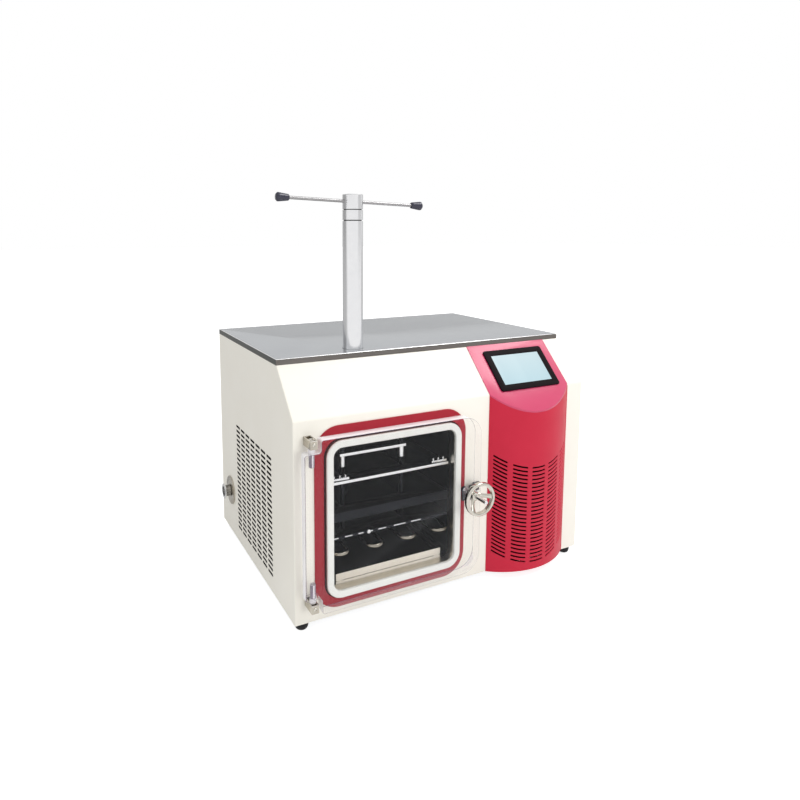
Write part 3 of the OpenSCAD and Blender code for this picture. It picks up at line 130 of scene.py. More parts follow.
def blended(tree, factor, first, second):
    return addNode(tree, "ShaderNodeMix", {0: factor}, {6: linear(first), 7: linear(second)},
                   data_type="RGBA").outputs[2]


def mapped(tree, source, values, **settings):
    # Inputs 1 and 2 are the range taken and 3 and 4 the range given
    return wire(tree, "ShaderNodeMapRange", {0: source}, values, **settings)


def product(tree, first, second):
    return wire(tree, "ShaderNodeMath", {0: first, 1: second}, operation="MULTIPLY")


def closeSurface(tree, s, tone, grain, spread, reliefMm, values):
    # The roughness varies around its setting and the surface rises and falls, both with the grain
    under, over = spread
    rough = mapped(tree, grain, {3: max(s["rough"] - under, smoothest), 4: s["rough"] + over})
    bump = wire(tree, "ShaderNodeBump", {"Height": grain},
                {"Strength": s["bump"], "Distance": reliefMm * mm})
    closeMaterial(tree, addNode(tree, "ShaderNodeBsdfPrincipled",
                                {"Base Color": tone, "Roughness": rough, "Normal": bump}, values))


# Powder-coated sheet steel: a soft sheen over a fine orange peel, with faint clouds in the colour
def powderCoat(name, s):
    material, tree = newMaterial(name)
    place = textureSpace(tree)
    # The real peel is near 0.5 mm and would vanish at this distance, so it is drawn coarser
    peel = noise(tree, place, 1 / (s["peelMm"] * mm), 2.0)
    cloud = noise(tree, place, 1 / (s["cloudMm"] * mm), 3.0)
    closeSurface(tree, s, blended(tree, cloud, s["colour"], s["deep"]), peel, (0.04, 0.05), 0.05,
                 {"IOR": 1.5, "Specular IOR Level": s.get("shine", 0.5),
                  "Coat Weight": s.get("coat", 0.0), "Coat Roughness": 0.2})
    return material


# Brushed stainless: long hair lines along one axis that smear the reflections across it
def brushedSteel(name, s):
    material, tree = newMaterial(name)
    # Grinding lines are about 0.1 mm wide and are drawn near 1 mm so that they show
    hair = noise(tree, textureSpace(tree, s["grain"]), 1 / mm, 4.0)
    smudge = noise(tree, textureSpace(tree), 9.0, 3.0)
    tone = blended(tree, product(tree, hair, smudge), s["deep"], s["colour"])
    closeSurface(tree, s, tone, hair, (0.08, 0.1), 0.05, {"Metallic": 1.0})
    return material


# Turned or drawn metal: faint rings from the tool and a little tarnish in patches
def turnedMetal(name, s):
    material, tree = newMaterial(name)
    ring = noise(tree, textureSpace(tree, s["grain"]), 1 / mm, 2.0)
    patch = noise(tree, textureSpace(tree), 60.0, 4.0)
    tone = blended(tree, patch, s["colour"], s["deep"])
    closeSurface(tree, s, tone, ring, (0.04, 0.05), 0.04, {"Metallic": 1.0})
    return material


# Moulded plastic or rubber: an even colour with a fine spark-eroded grain
def mouldedGrain(name, s):
    material, tree = newMaterial(name)
    place = textureSpace(tree)
    grain = noise(tree, place, 1 / (s["grainMm"] * mm), 3.0)
    patch = noise(tree, place, 25.0, 2.0)
    closeSurface(tree, s, blended(tree, patch, s["colour"], s["deep"]), grain, (0.05, 0.07), 0.06,
                 {"IOR": s["ior"], "Specular IOR Level": s.get("shine", 0.5),
                  "Coat Weight": s.get("coat", 0.0), "Coat Roughness": 0.08})
    return material


# Cast acrylic: clear when seen square on and cloudier at a glance; a face that is seen from inside
# the sheet, past the angle of total reflection, mirrors what is around it and all but vanishes
def castAcrylic(name, s):
    material, tree = newMaterial(name)
    haze = noise(tree, textureSpace(tree), 1 / (s["hazeMm"] * mm), 3.0)
    lean = addNode(tree, "ShaderNodeLayerWeight", None, {"Blend": 0.5}).outputs["Facing"]
    veil = mapped(tree, lean, {1: 0.3, 3: s["veil"], 4: s["veilAtGlance"]})
    inside = addNode(tree, "ShaderNodeFresnel", None, {"IOR": acrylicIor}).outputs[0]
    fade = mapped(tree, inside, {1: 0.7, 3: 1.0, 4: s["inside"]})
    closeMaterial(tree, addNode(tree, "ShaderNodeBsdfPrincipled",
                                {"Base Color": blended(tree, haze, s["colour"], s["deep"]),
                                 "Alpha": product(tree, veil, fade)},
                                {"Roughness": 0.06, "IOR": acrylicIor}))
    return material


# A lit display behind a touch panel: a pale glow that changes a little from bottom to top
def litScreen(name, s):
    material, tree = newMaterial(name)
    height = addNode(tree, "ShaderNodeSeparateXYZ", {0: textureSpace(tree)}).outputs[2]
    tone = blended(tree, mapped(tree, height, {1: s["low"], 2: s["high"]}), s["colour"], s["deep"])
    closeMaterial(tree, addNode(tree, "ShaderNodeBsdfPrincipled", {"Emission Color": tone},
                                {"Base Color": linear(s["glass"]), "Emission Strength": s["glow"],
                                 "Roughness": 0.2, "IOR": 1.5, "Specular IOR Level": 0.3}))
    return material


def look(colour, deep, rough, bump, **more):
    return {"colour": colour, "deep": deep, "rough": rough, "bump": bump} | more


displayLow, displayHigh = (Vector(c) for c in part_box("display"))
finishes = {
    "creamPowderCoat": (powderCoat, look("#F4F1E8", "#F0ECE1", 0.42, 0.2, peelMm=2.5, cloudMm=90)),
    # The console's red is pinker than the fascia's, a painted sheen of the light above on the same moulding
    "redCoatPaintedSheen": (powderCoat, look("#CC3B66", "#C63560", 0.32, 0.15, peelMm=2.0, cloudMm=60,
        coat=0.6)),
    # The surround's red is darker than the fascia's, painted shade of the door in front of it
    "shadedRedSurroundCoat": (powderCoat, look("#A6192C", "#9B1426", 0.4, 0.2, peelMm=2.0, cloudMm=60,
        shine=0.35)),
    "redPowderCoat": (powderCoat, look("#C9203D", "#C01A37", 0.4, 0.2, shine=0.3, peelMm=2.0,
        cloudMm=60)),
    # Real black enamel; the same finish paints slot walls and groove bottoms as painted shade
    "blackEnamelAndShade": (powderCoat, look("#0A0A0B", "#101012", 0.45, 0.3, shine=0.2, peelMm=4.0, cloudMm=50)),
    "darkOxideSteel": (turnedMetal, look("#56565A", "#3C3B3E", 0.36, 0.2, grain=(1, 1, 1))),
    "brushedWorktopSteel": (brushedSteel, look("#DCDFE3", "#BFC3C8", 0.2, 0.12, grain=(0.8, 0.004, 0.8))),
    # The worktop's turned-down edge is its steel drawn darker as painted shade, and darker still on the left
    # side
    "shadedWorktopFlange": (brushedSteel, look("#928D89", "#6A6561", 0.28, 0.2,
        grain=(0.004, 0.004, 0.8))),
    "darkerShadedWorktopSide": (brushedSteel, look("#5E615C", "#4A4C48", 0.3, 0.2, grain=(0.004, 0.004, 0.8))),
    # Near-white steel that paints highlights on rims, front edges and small bright fittings
    "paintedHighlightSteel": (turnedMetal, look("#FAFAFA", "#EDEDEE", 0.3, 0.05, grain=(0.3, 0.3, 0.3))),
    # Steel drawn dark as painted shade of the deep chamber, also on the rods, screw, ram and tray inside it
    "shadedChamberSteel": (brushedSteel, look("#404248", "#17171A", 0.3, 0.15, grain=(0.8, 0.006, 0.8))),
    "galvanisedSheet": (brushedSteel, look("#9FA3A7", "#7C8085", 0.45, 0.3, grain=(0.05, 0.05, 0.05))),
    "turnedStainless": (turnedMetal, look("#F0F0F1", "#E6E6E8", 0.2, 0.02, grain=(0.02, 0.02, 0.9))),
    "drawnBar": (turnedMetal, look("#B4B3B4", "#A19F9F", 0.3, 0.02, grain=(0.1, 0.1, 0.1))),
    # A pale colour that paints the light falling on the tray's front wall
    "paintedLitTrayWall": (powderCoat, look("#E8E1D5", "#DDD5C7", 0.35, 0.15, peelMm=2.0, cloudMm=40)),
    "mouthLipSteel": (turnedMetal, look("#E3DED4", "#CEC8BC", 0.3, 0.04, grain=(0.3, 0.3, 0.3))),
    "coilTube": (turnedMetal, look("#B5AFA3", "#8E887D", 0.22, 0.04, grain=(0.2, 0.2, 0.2))),
    "satinNickel": (turnedMetal, look("#D6D0C3", "#B5AEA1", 0.22, 0.08, grain=(0.3, 0.3, 0.3))),
    "zincPlate": (turnedMetal, look("#C9CCCE", "#ABAFB2", 0.34, 0.15, grain=(0.3, 0.3, 0.3))),
    "polishedChrome": (turnedMetal, look("#DEDAD1", "#CDC8BC", 0.05, 0.02, grain=(0.2, 0.2, 0.2))),
    "turnedBronze": (turnedMetal, look("#B08A4A", "#8E6B34", 0.35, 0.15, grain=(0.02, 0.02, 0.9))),
    "drawnCopper": (turnedMetal, look("#C47B50", "#8F5233", 0.3, 0.1, grain=(0.1, 0.1, 0.1))),
    "siliconeRubber": (mouldedGrain, look("#EEEEEA", "#E8E7E2", 0.45, 0.1, grainMm=1.5, ior=1.43)),
    "blackRubber": (mouldedGrain, look("#141416", "#1B1B1E", 0.6, 0.4, grainMm=1.2, ior=1.5, shine=0.3)),
    "blackAbs": (mouldedGrain, look("#120B0E", "#170F13", 0.5, 0.15, grainMm=1.0, ior=1.5, shine=0.07)),
    "navyPhenolic": (mouldedGrain, look("#1B1B2E", "#25253C", 0.25, 0.05, grainMm=3.0, ior=1.6,
        coat=0.2)),
    "turnedAcetal": (mouldedGrain, look("#A9B2B0", "#98A3A1", 0.35, 0.15, grainMm=1.0, ior=1.48)),
    # Black insulation foam; the same finish colours the sheets of painted shade behind the slots
    "insulationFoamAndShade": (mouldedGrain, look("#060607", "#0A0A0B", 0.85, 0.9, grainMm=4.0, ior=1.4,
        shine=0.1)),
    # A dark maroon ring of painted shade, where the gap around the mouth lies in shadow
    "paintedGapShade": (mouldedGrain, look("#3A141B", "#2C0E14", 0.6, 0.2, grainMm=2.0, ior=1.43,
        shine=0.2)),
    "whiteNylon": (mouldedGrain, look("#EFECEE", "#E4E0E4", 0.4, 0.1, grainMm=1.0, ior=1.53)),
    "clearAcrylic": (castAcrylic, {"colour": "#E9EEF4", "deep": "#F4F6F8", "hazeMm": 60, "veil": 0.012,
        "veilAtGlance": 0.3, "inside": 0.3}),
    # The sawn edges are white, partly their own frosting and partly painted highlight; the bevels are lilac,
    # a painted reflection
    "acrylicSawnEdgeAndHighlight": (castAcrylic, {"colour": "#FFFFFF", "deep": "#FBF8FC", "hazeMm": 25, "veil": 0.72,
        "veilAtGlance": 0.85, "inside": 0.12}),
    "acrylicBevelPaintedReflection": (castAcrylic, {"colour": "#665670", "deep": "#988A9C", "hazeMm": 18, "veil": 0.62,
        "veilAtGlance": 0.72, "inside": 0.8}),
    "litScreen": (litScreen, {"colour": "#C4E4EE", "deep": "#D9EEF4", "glow": 0.91, "glass": "#0E1214",
        "low": displayLow.z, "high": displayHigh.z}),
}
slotFinish = {
    "cream_paint": "creamPowderCoat", "red_paint": "redPowderCoat", "worktop_steel": "brushedWorktopSteel",
    "chamber_steel": "shadedChamberSteel", "turned_steel": "turnedStainless", "zinc_steel": "zincPlate",
    "dark_steel": "darkOxideSteel", "chrome": "polishedChrome", "bronze": "turnedBronze",
    "copper": "drawnCopper", "acrylic": "clearAcrylic", "silicone": "siliconeRubber",
    "black_rubber": "blackRubber", "black_plastic": "blackAbs", "navy_plastic": "navyPhenolic",
    "acetal": "turnedAcetal", "screen": "litScreen", "foam": "insulationFoamAndShade",
    "galvanised": "galvanisedSheet", "black_enamel": "blackEnamelAndShade",
}
materials = {name: make(name, settings) for name, (make, settings) in finishes.items()}
nodeSlot = {part["node"]: part["material_slot"] for part in frame["record"]["subparts"]}
print("finishes made:", len(materials))


def materialOf(node):
    return materials[slotFinish[nodeSlot[node]]]


def setMaterial(obj, material):
    obj.data.materials.clear()
    obj.data.materials.append(material)


def addPiece(name, mesh, body, slot, replaced=(), finish=None):
    # A finished mesh becomes a piece that rides on a body and stands for the nodes it replaces
    piece = bpy.data.objects.new(name, mesh)
    bpy.context.scene.collection.objects.link(piece)
    setMaterial(piece, materials[finish or slotFinish[slot]])
    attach(piece, body)
    if replaced:
        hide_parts(*replaced)
        shownNodes.difference_update(replaced)
    return piece


def paintFaces(piece, finish, chosen):
    # Gives the faces that the test picks by centre and normal a finish of their own
    piece.data.materials.append(materials[finish])
    index = len(piece.data.materials) - 1
    for face in piece.data.polygons:
        if chosen(face.center, face.normal):
            face.material_index = index


def bodyOf(node):
    return next(body for body, members in frame["record"]["behaviour"]["bodies"].items() if node in members)


def cornersOf(node):
    low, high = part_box(node)
    return Vector(low), Vector(high)


def smoothed(mesh, angle=32):
    mesh.shade_smooth()
    mesh.set_sharp_from_angle(angle=math.radians(angle))
    return mesh


def helper(name, mesh):
    obj = bpy.data.objects.new(name, mesh)
    bpy.context.scene.collection.objects.link(obj)
    return obj


def evaluated(obj):
    # The mesh with every modifier applied, and the helper object removed
    graph = bpy.context.evaluated_depsgraph_get()
    mesh = bpy.data.meshes.new_from_object(obj.evaluated_get(graph), depsgraph=graph)
    bpy.data.objects.remove(obj)
    return mesh


def weldedCopy(node):
    # A node's triangles are loose, so a copy is welded and its flat faces are joined up
    bm = bmesh.new()
    bm.from_mesh(nodes[node].data)
    bmesh.ops.remove_doubles(bm, verts=bm.verts, dist=0.002 * mm)
    bmesh.ops.dissolve_limit(bm, angle_limit=math.radians(0.6), verts=bm.verts, edges=bm.edges)
    return meshFrom(bm, node)


def meshFrom(bm, name):
    mesh = bpy.data.meshes.new(name)
    bm.to_mesh(mesh)
    bm.free()
    return mesh


def eased(mesh, widthMm, segments=2, angle=30):
    # Rounds every sharp edge as a deburring tool or a mould does, and keeps the flat faces flat
    mesh.shade_smooth()
    obj = helper("eased", mesh)
    bevel = obj.modifiers.new("ease", "BEVEL")
    bevel.width = widthMm * mm
    bevel.segments = segments
    bevel.limit_method = "ANGLE"
    bevel.angle_limit = math.radians(angle)
    bevel.harden_normals = True
    return evaluated(obj)


def thickened(mesh, thicknessMm):
    # Gives a sheet its thickness on the side away from its normals
    obj = helper("thickened", mesh)
    wall = obj.modifiers.new("wall", "SOLIDIFY")
    wall.thickness = thicknessMm * mm
    wall.offset = -1
    wall.use_even_offset = True
    return evaluated(obj)


def cutBy(mesh, cutter):
    obj = helper("cut", mesh)
    tool = helper("cutter", cutter)
    cut = obj.modifiers.new("cut", "BOOLEAN")
    cut.operation = "DIFFERENCE"
    cut.solver = "EXACT"
    cut.object = tool
    result = evaluated(obj)
    bpy.data.objects.remove(tool)
    return result


def joined(meshes, name):
    bm = bmesh.new()
    for mesh in meshes:
        bm.from_mesh(mesh)
    return meshFrom(bm, name)


def placed(mesh, across, up, out, origin):
    # Stands a flat pattern up: its X, Y and Z go to the three directions given
    turn = Matrix((across, up, out)).transposed().to_4x4()
    mesh.transform(Matrix.Translation(origin) @ turn)
    if turn.determinant() < 0:
        mesh.flip_normals()
    return mesh


def block(low, high):
    bm = bmesh.new()
    bmesh.ops.create_cube(bm, size=1)
    middle, size = (low + high) / 2, high - low
    for v in bm.verts:
        v.co = Vector((v.co[i] * size[i] + middle[i] for i in range(3)))
    return meshFrom(bm, "block")


def joinRings(bm, rings, closed=False):
    # Faces between neighbouring rings of points; at a pole the repeated point leaves a triangle
    for below, above in list(zip(rings, rings[1:])) + ([(rings[-1], rings[0])] if closed else []):
        for i in range(len(below)):
            k = (i + 1) % len(below)
            bm.faces.new(list(dict.fromkeys([below[i], below[k], above[k], above[i]])))


def lathed(profile, steps=48, closed=False):
    # Turns an outline of radius and height about Z, in metres, with the poles closed
    bm = bmesh.new()
    rings = []
    for radius, height in profile:
        if radius < 1e-7:
            rings.append([bm.verts.new((0, 0, height))] * steps)
            continue
        angles = [2 * math.pi * i / steps for i in range(steps)]
        rings.append([bm.verts.new((radius * math.cos(a), radius * math.sin(a), height)) for a in angles])
    joinRings(bm, rings, closed)
    bmesh.ops.recalc_face_normals(bm, faces=bm.faces)
    return meshFrom(bm, "lathed")


# ---- Geometry Nodes ----
def geometryTree(name, sizes):
    # A tree with a geometry going in and out, and one named input for each size
    tree = bpy.data.node_groups.new(name, "GeometryNodeTree")
    tree.interface.new_socket("Geometry", in_out="OUTPUT", socket_type="NodeSocketGeometry")
    tree.interface.new_socket("Geometry", in_out="INPUT", socket_type="NodeSocketGeometry")
    for label, kind in sizes.items():
        tree.interface.new_socket(label, in_out="INPUT", socket_type="NodeSocket" + kind)
    return tree, tree.nodes.new("NodeGroupInput").outputs


def closeGeometry(tree, source, sizes):
    real = wire(tree, "GeometryNodeRealizeInstances", {0: source})
    painted = wire(tree, "GeometryNodeSetMaterial",
                   {"Geometry": real, "Material": sizes["Material"]})
    addNode(tree, "NodeGroupOutput", {0: painted})


def grown(tree, values, start=None):
    # Runs a tree on a start mesh and keeps the result as a plain mesh
    obj = helper("grown", start or bpy.data.meshes.new("empty"))
    modifier = obj.modifiers.new("grow", "NODES")
    modifier.node_group = tree
    for item in tree.interface.items_tree:
        if item.in_out == "INPUT" and item.name in values:
            modifier[item.identifier] = values[item.name]
    return evaluated(obj)


def makeSlotTree():
    # Rows and columns of upright prisms with rounded corners, which cut slots or stand as tabs
    tree, sizes = geometryTree("slotField", {
        "Length": "Float", "Height": "Float", "Corner": "Float", "Depth": "Float", "Columns": "Int",
        "Rows": "Int", "PitchAcross": "Float", "PitchUp": "Float", "Material": "Material"})
    outline = wire(tree, "GeometryNodeCurvePrimitiveQuadrilateral",
                   {"Width": sizes["Length"], "Height": sizes["Height"]})
    rounded = wire(tree, "GeometryNodeFilletCurve",
                   {"Curve": outline, "Radius": sizes["Corner"]},
                   {"Count": 4, "Limit Radius": True}, mode="POLY")
    face = wire(tree, "GeometryNodeFillCurve", {0: rounded}, mode="NGONS")
    tall = wire(tree, "GeometryNodeExtrudeMesh", {"Mesh": face, "Offset Scale": sizes["Depth"]},
                {"Individual": False})
    floor = wire(tree, "GeometryNodeFlipFaces", {0: face})
    both = addNode(tree, "GeometryNodeJoinGeometry")
    tree.links.new(tall, both.inputs[0])
    tree.links.new(floor, both.inputs[0])
    prism = wire(tree, "GeometryNodeMergeByDistance", {0: both.outputs[0]})
    up = wire(tree, "ShaderNodeCombineXYZ", {1: sizes["PitchUp"]})
    across = wire(tree, "ShaderNodeCombineXYZ", {0: sizes["PitchAcross"]})
    rowLine = wire(tree, "GeometryNodeMeshLine", {"Count": sizes["Rows"], "Offset": up})
    columnLine = wire(tree, "GeometryNodeMeshLine", {"Count": sizes["Columns"], "Offset": across})
    rows = wire(tree, "GeometryNodeInstanceOnPoints",
                {"Points": rowLine, "Instance": prism})
    field = wire(tree, "GeometryNodeInstanceOnPoints",
                 {"Points": columnLine, "Instance": rows})
    closeGeometry(tree, field, sizes)
    return tree


def makeRingTree():
    # Copies of the start mesh at even turns about Z
    tree, sizes = geometryTree("aroundAxis", {"Count": "Int", "Step": "Float", "Material": "Material"})
    spots = wire(tree, "GeometryNodePoints", {"Count": sizes["Count"]})
    number = wire(tree, "GeometryNodeInputIndex")
    angle = wire(tree, "ShaderNodeMath", {0: number, 1: sizes["Step"]}, operation="MULTIPLY")
    turn = wire(tree, "ShaderNodeCombineXYZ", {2: angle})
    copies = wire(tree, "GeometryNodeInstanceOnPoints",
                  {"Points": spots, "Instance": sizes["Geometry"], "Rotation": turn})
    closeGeometry(tree, copies, sizes)
    return tree


def makePinTree():
    # A piece set at each point of the start mesh, all turned the same way
    tree, sizes = geometryTree("setAtPoints", {
        "Piece": "Object", "Turn": "Rotation", "Material": "Material"})
    piece = addNode(tree, "GeometryNodeObjectInfo", {"Object": sizes["Piece"]})
    copies = wire(tree, "GeometryNodeInstanceOnPoints",
                  {"Points": sizes["Geometry"], "Instance": piece.outputs["Geometry"],
                   "Rotation": sizes["Turn"]})
    closeGeometry(tree, copies, sizes)
    return tree


def makeSealTree():
    # A rounded frame of even section, as a lip seal pressed on the mouth of a chamber
    tree, sizes = geometryTree("lipSeal", {
        "Width": "Float", "Height": "Float", "Corner": "Float", "FaceWidth": "Float", "Depth": "Float",
        "Edge": "Float", "Material": "Material"})
    path = wire(tree, "GeometryNodeCurvePrimitiveQuadrilateral",
                {"Width": sizes["Width"], "Height": sizes["Height"]})
    bent = wire(tree, "GeometryNodeFilletCurve", {"Curve": path, "Radius": sizes["Corner"]},
                {"Count": 12, "Limit Radius": True}, mode="POLY")
    level = wire(tree, "GeometryNodeSetCurveNormal", {"Curve": bent}, mode="Z_UP")
    section = wire(tree, "GeometryNodeCurvePrimitiveQuadrilateral",
                   {"Width": sizes["FaceWidth"], "Height": sizes["Depth"]})
    soft = wire(tree, "GeometryNodeFilletCurve", {"Curve": section, "Radius": sizes["Edge"]},
                {"Count": 5, "Limit Radius": True}, mode="POLY")
    swept = wire(tree, "GeometryNodeCurveToMesh",
                 {"Curve": level, "Profile Curve": soft})
    closeGeometry(tree, swept, sizes)
    return tree


slotTree = makeSlotTree()
ringTree = makeRingTree()
pinTree = makePinTree()
sealTree = makeSealTree()
print("node trees made: 4")


def roundedPrism(length, tall, corner, depth, **more):
    # One rounded prism, or a column of them, in metres
    return grown(slotTree, {"Length": length, "Height": tall, "Corner": corner, "Depth": depth,
                            "Columns": 1, "Rows": 1} | more)


# ---- cabinet ----
frontLow, frontHigh = cornersOf("front_panel")
leftLow, leftHigh = cornersOf("left_side_panel")
fasciaLow, fasciaHigh = cornersOf("fascia")
topLow = cornersOf("worktop")[0]
gasketLow, gasketHigh = cornersOf("mouth_gasket")
creaseZ = max(v.co.z for v in nodes["front_panel"].data.vertices if v.co.y < frontLow.y + 0.1 * mm)
slopeAngle = math.atan2(topLow.z - creaseZ, topLow.y - frontLow.y)
acrossX, upZ, frontward = Vector((1, 0, 0)), Vector((0, 0, 1)), Vector((0, -1, 0))
upSlope = Vector((0, math.cos(slopeAngle), math.sin(slopeAngle)))
offSlope = Vector((0, -math.sin(slopeAngle), math.cos(slopeAngle)))

skin = {
    "sheet": 2.0,
    "bend": 2.6,
    "bendSteps": 4,
    "mouthGap": 1.0,
    "mouthCorner": 27.0,
    "chamberWall": 6.0,
    "ductInset": 20.0,
    "ductLow": 30.0,
    "ductTall": 290.0,
    "ductReach": 10.0,
    "screenLap": 12.0,
    "screenCorner": 2.0,
    "cutterDepth": 60.0,
    "slotZone": (60, 450),
    "faceMargin": 0.1,
    "shadeGap": 0.05,
    "shadeSheet": 0.8,
}
gasket = {"faceWidth": 15.5, "corner": 27.7, "edge": 2.6, "setBack": 0.3}
mouthRings = {"linerSheet": 0.7, "linerDepth": 20.0, "lipProud": 0.4, "lipDepth": 6.0,
              "lipFace": 2.0, "lipEdge": 0.15, "edge": 0.1, "linerBack": 14, "linerGap": 0.1, "gap": 3.6,
              "gapSheet": 0.4}
sideVents = {
    "Length": 33 * mm, "Height": 6.2 * mm, "Corner": 3.09 * mm, "Depth": 30 * mm, "Columns": 7, "Rows": 23,
    "PitchAcross": 41 * mm, "PitchUp": 12.4 * mm,
}
sideVentStart = {"behindFront": 154.0, "aboveUnderside": 41.5, "cutterOutside": 10.0}


def foldedShell(s):
    # The front, the slope and both sides are one folded sheet, open below, above and behind
    x0, x1, y0, z0 = frontLow.x, frontHigh.x, frontLow.y, frontLow.z
    outline = [(y0, z0), (y0, creaseZ), (topLow.y, topLow.z), (leftHigh.y, topLow.z), (leftHigh.y, z0)]
    bm = bmesh.new()
    left = [bm.verts.new((x0, y, z)) for y, z in outline]
    right = [bm.verts.new((x1, y, z)) for y, z in outline]
    bm.faces.new(left)
    bm.faces.new(right[::-1])
    for i in range(2):
        bm.faces.new([left[i], right[i], right[i + 1], left[i + 1]])
    folds = [edge for edge in bm.edges if len(edge.link_faces) == 2]
    bmesh.ops.bevel(bm, geom=folds, offset=s["bend"] * mm, segments=s["bendSteps"], profile=0.5,
                    affect="EDGES")
    return thickened(meshFrom(bm, "foldedShell"), s["sheet"])


def shellOpenings(s, seal):
    # The chamber's mouth, the duct behind the fascia and the hole behind the screen
    middle = (gasketLow + gasketHigh) / 2
    lap = 2 * (seal["faceWidth"] - s["chamberWall"] - s["mouthGap"]) * mm
    depth = s["cutterDepth"] * mm
    mouth = roundedPrism(gasketHigh.x - gasketLow.x - lap, gasketHigh.z - gasketLow.z - lap,
                         s["mouthCorner"] * mm, depth)
    placed(mouth, acrossX, upZ, frontward, Vector((middle.x, frontLow.y + depth / 2, middle.z)))
    inset, reach, low = s["ductInset"] * mm, s["ductReach"] * mm, frontLow.z + s["ductLow"] * mm
    duct = block(Vector((fasciaLow.x + inset, frontLow.y - reach, low)),
                 Vector((fasciaHigh.x - inset, frontLow.y + reach, low + s["ductTall"] * mm)))
    screen = roundedPrism(displayHigh.x - displayLow.x + s["screenLap"] * mm,
                          (displayHigh.z - displayLow.z) / math.sin(slopeAngle) + s["screenLap"] * mm,
                          s["screenCorner"] * mm, depth)
    placed(screen, acrossX, upSlope, offSlope, (displayLow + displayHigh) / 2 - depth / 2 * offSlope)
    return [mouth, duct, screen]


def sideSlots(slots, start):
    # Seen from the left side, the rows run back along Y
    field = grown(slotTree, slots)
    first = Vector((leftLow.x - start["cutterOutside"] * mm, frontLow.y + start["behindFront"] * mm,
                    frontLow.z + start["aboveUnderside"] * mm))
    return placed(field, Vector((0, 1, 0)), upZ, acrossX, first)


shell = cutBy(foldedShell(skin), sideSlots(sideVents, sideVentStart))
for opening in shellOpenings(skin, gasket):
    shell = cutBy(shell, opening)
cabinetShell = addPiece("cabinetShell.folded", smoothed(shell), "cabinet", "cream_paint",
                        ["front_panel", "left_side_panel", "right_side_panel"])


def shadedSlotWall(centre, normal):
    # A wall of a slot, between the two faces of a side sheet, which is painted black as painted shade
    fromSide = min(centre.x - leftLow.x, frontHigh.x - centre.x) / mm
    fromFront = (centre.y - frontLow.y) / mm
    margin, (first, last) = skin["faceMargin"], skin["slotZone"]
    return margin < fromSide < skin["sheet"] - margin and abs(normal.x) < 0.5 and first < fromFront < last


# The slot walls are the cream sheet; they are painted black here as painted shade
paintFaces(cabinetShell, "blackEnamelAndShade", shadedSlotWall)


def slotShadeBacking(slots, start, sheetMm):
    # A thin black sheet of painted shade behind the slots of one side
    reach = (slots["Columns"] * slots["PitchAcross"], slots["Rows"] * slots["PitchUp"])
    low = Vector((0, frontLow.y + start["behindFront"] * mm - slots["PitchAcross"],
                  frontLow.z + start["aboveUnderside"] * mm - slots["PitchUp"]))
    return block(low, low + Vector((sheetMm * mm, reach[0] + slots["PitchAcross"],
                                    reach[1] + slots["PitchUp"])))


# Black sheets of painted shade stand behind the slots of both sides
sideFilters = []
shadeIn = skin["sheet"] + skin["shadeGap"]
for sideX in (leftLow.x + shadeIn * mm, frontHigh.x - (shadeIn + skin["shadeSheet"]) * mm):
    backing = slotShadeBacking(sideVents, sideVentStart, skin["shadeSheet"])
    backing.transform(Matrix.Translation((sideX, 0, 0)))
    sideFilters.append(backing)
addPiece("sideFilters", joined(sideFilters, "sideFilters"), "cabinet", "foam")
print("cabinet shell folded and slotted")

# ---- fascia ----
# The corner of a slot or a tab as a share of its height
roundEnd = 0.45
fascia = {
    "sheet": 1.5,
    "steps": 48,
    "flange": 6.0,
    "rows": 25,
    "pitch": 9.8,
    "slotTall": 6.2,
    "firstRow": 19.0,
    "slotWidths": (40.0, 38.5, 30.5),
    "rib": 11.0,
    "cutterBelow": 80.0,
    "cutterAbove": 60.0,
    "shadeInset": 7.0,
    "shadeLayer": (1.2, 0.3),
    "shadeEnds": (4, 12),
}


def bulgedSheet(s):
    # An arc in plan, cut off along the slope, with a floor and a flange at each side
    halfWidth = (fasciaHigh.x - fasciaLow.x) / 2
    bulge = frontLow.y - fasciaLow.y
    radius = (halfWidth ** 2 + bulge ** 2) / (2 * bulge)
    reach = math.asin(halfWidth / radius)
    middleX, centreY = (fasciaLow.x + fasciaHigh.x) / 2, fasciaLow.y + radius
    sheet = s["sheet"] * mm
    bm = bmesh.new()
    low, high = [], []
    for i in range(s["steps"] + 1):
        angle = reach * (2 * i / s["steps"] - 1)
        x, y = middleX + radius * math.sin(angle), centreY - radius * math.cos(angle)
        low.append(bm.verts.new((x, y, fasciaLow.z)))
        topZ = creaseZ + (y - frontLow.y) * math.tan(slopeAngle) - sheet / math.cos(slopeAngle)
        high.append(bm.verts.new((x, y, topZ)))
    for i in range(s["steps"]):
        bm.faces.new([low[i], low[i + 1], high[i + 1], high[i]])
    arc = thickened(meshFrom(bm, "arc"), s["sheet"])
    bm = bmesh.new()
    middleR = radius - sheet / 2
    angles = [reach * (2 * i / s["steps"] - 1) for i in range(s["steps"] + 1)]
    edge = [bm.verts.new((middleX + middleR * math.sin(a), centreY - middleR * math.cos(a), fasciaLow.z))
            for a in angles]
    bm.faces.new(edge[::-1])
    floor = thickened(meshFrom(bm, "floor"), s["sheet"])
    flangeTop = creaseZ - 2 * sheet
    flanges = [block(Vector((x, frontLow.y - sheet, fasciaLow.z)),
                     Vector((x + s["flange"] * mm, frontLow.y, flangeTop)))
               for x in (fasciaLow.x, fasciaHigh.x - s["flange"] * mm)]
    return arc, [floor] + flanges


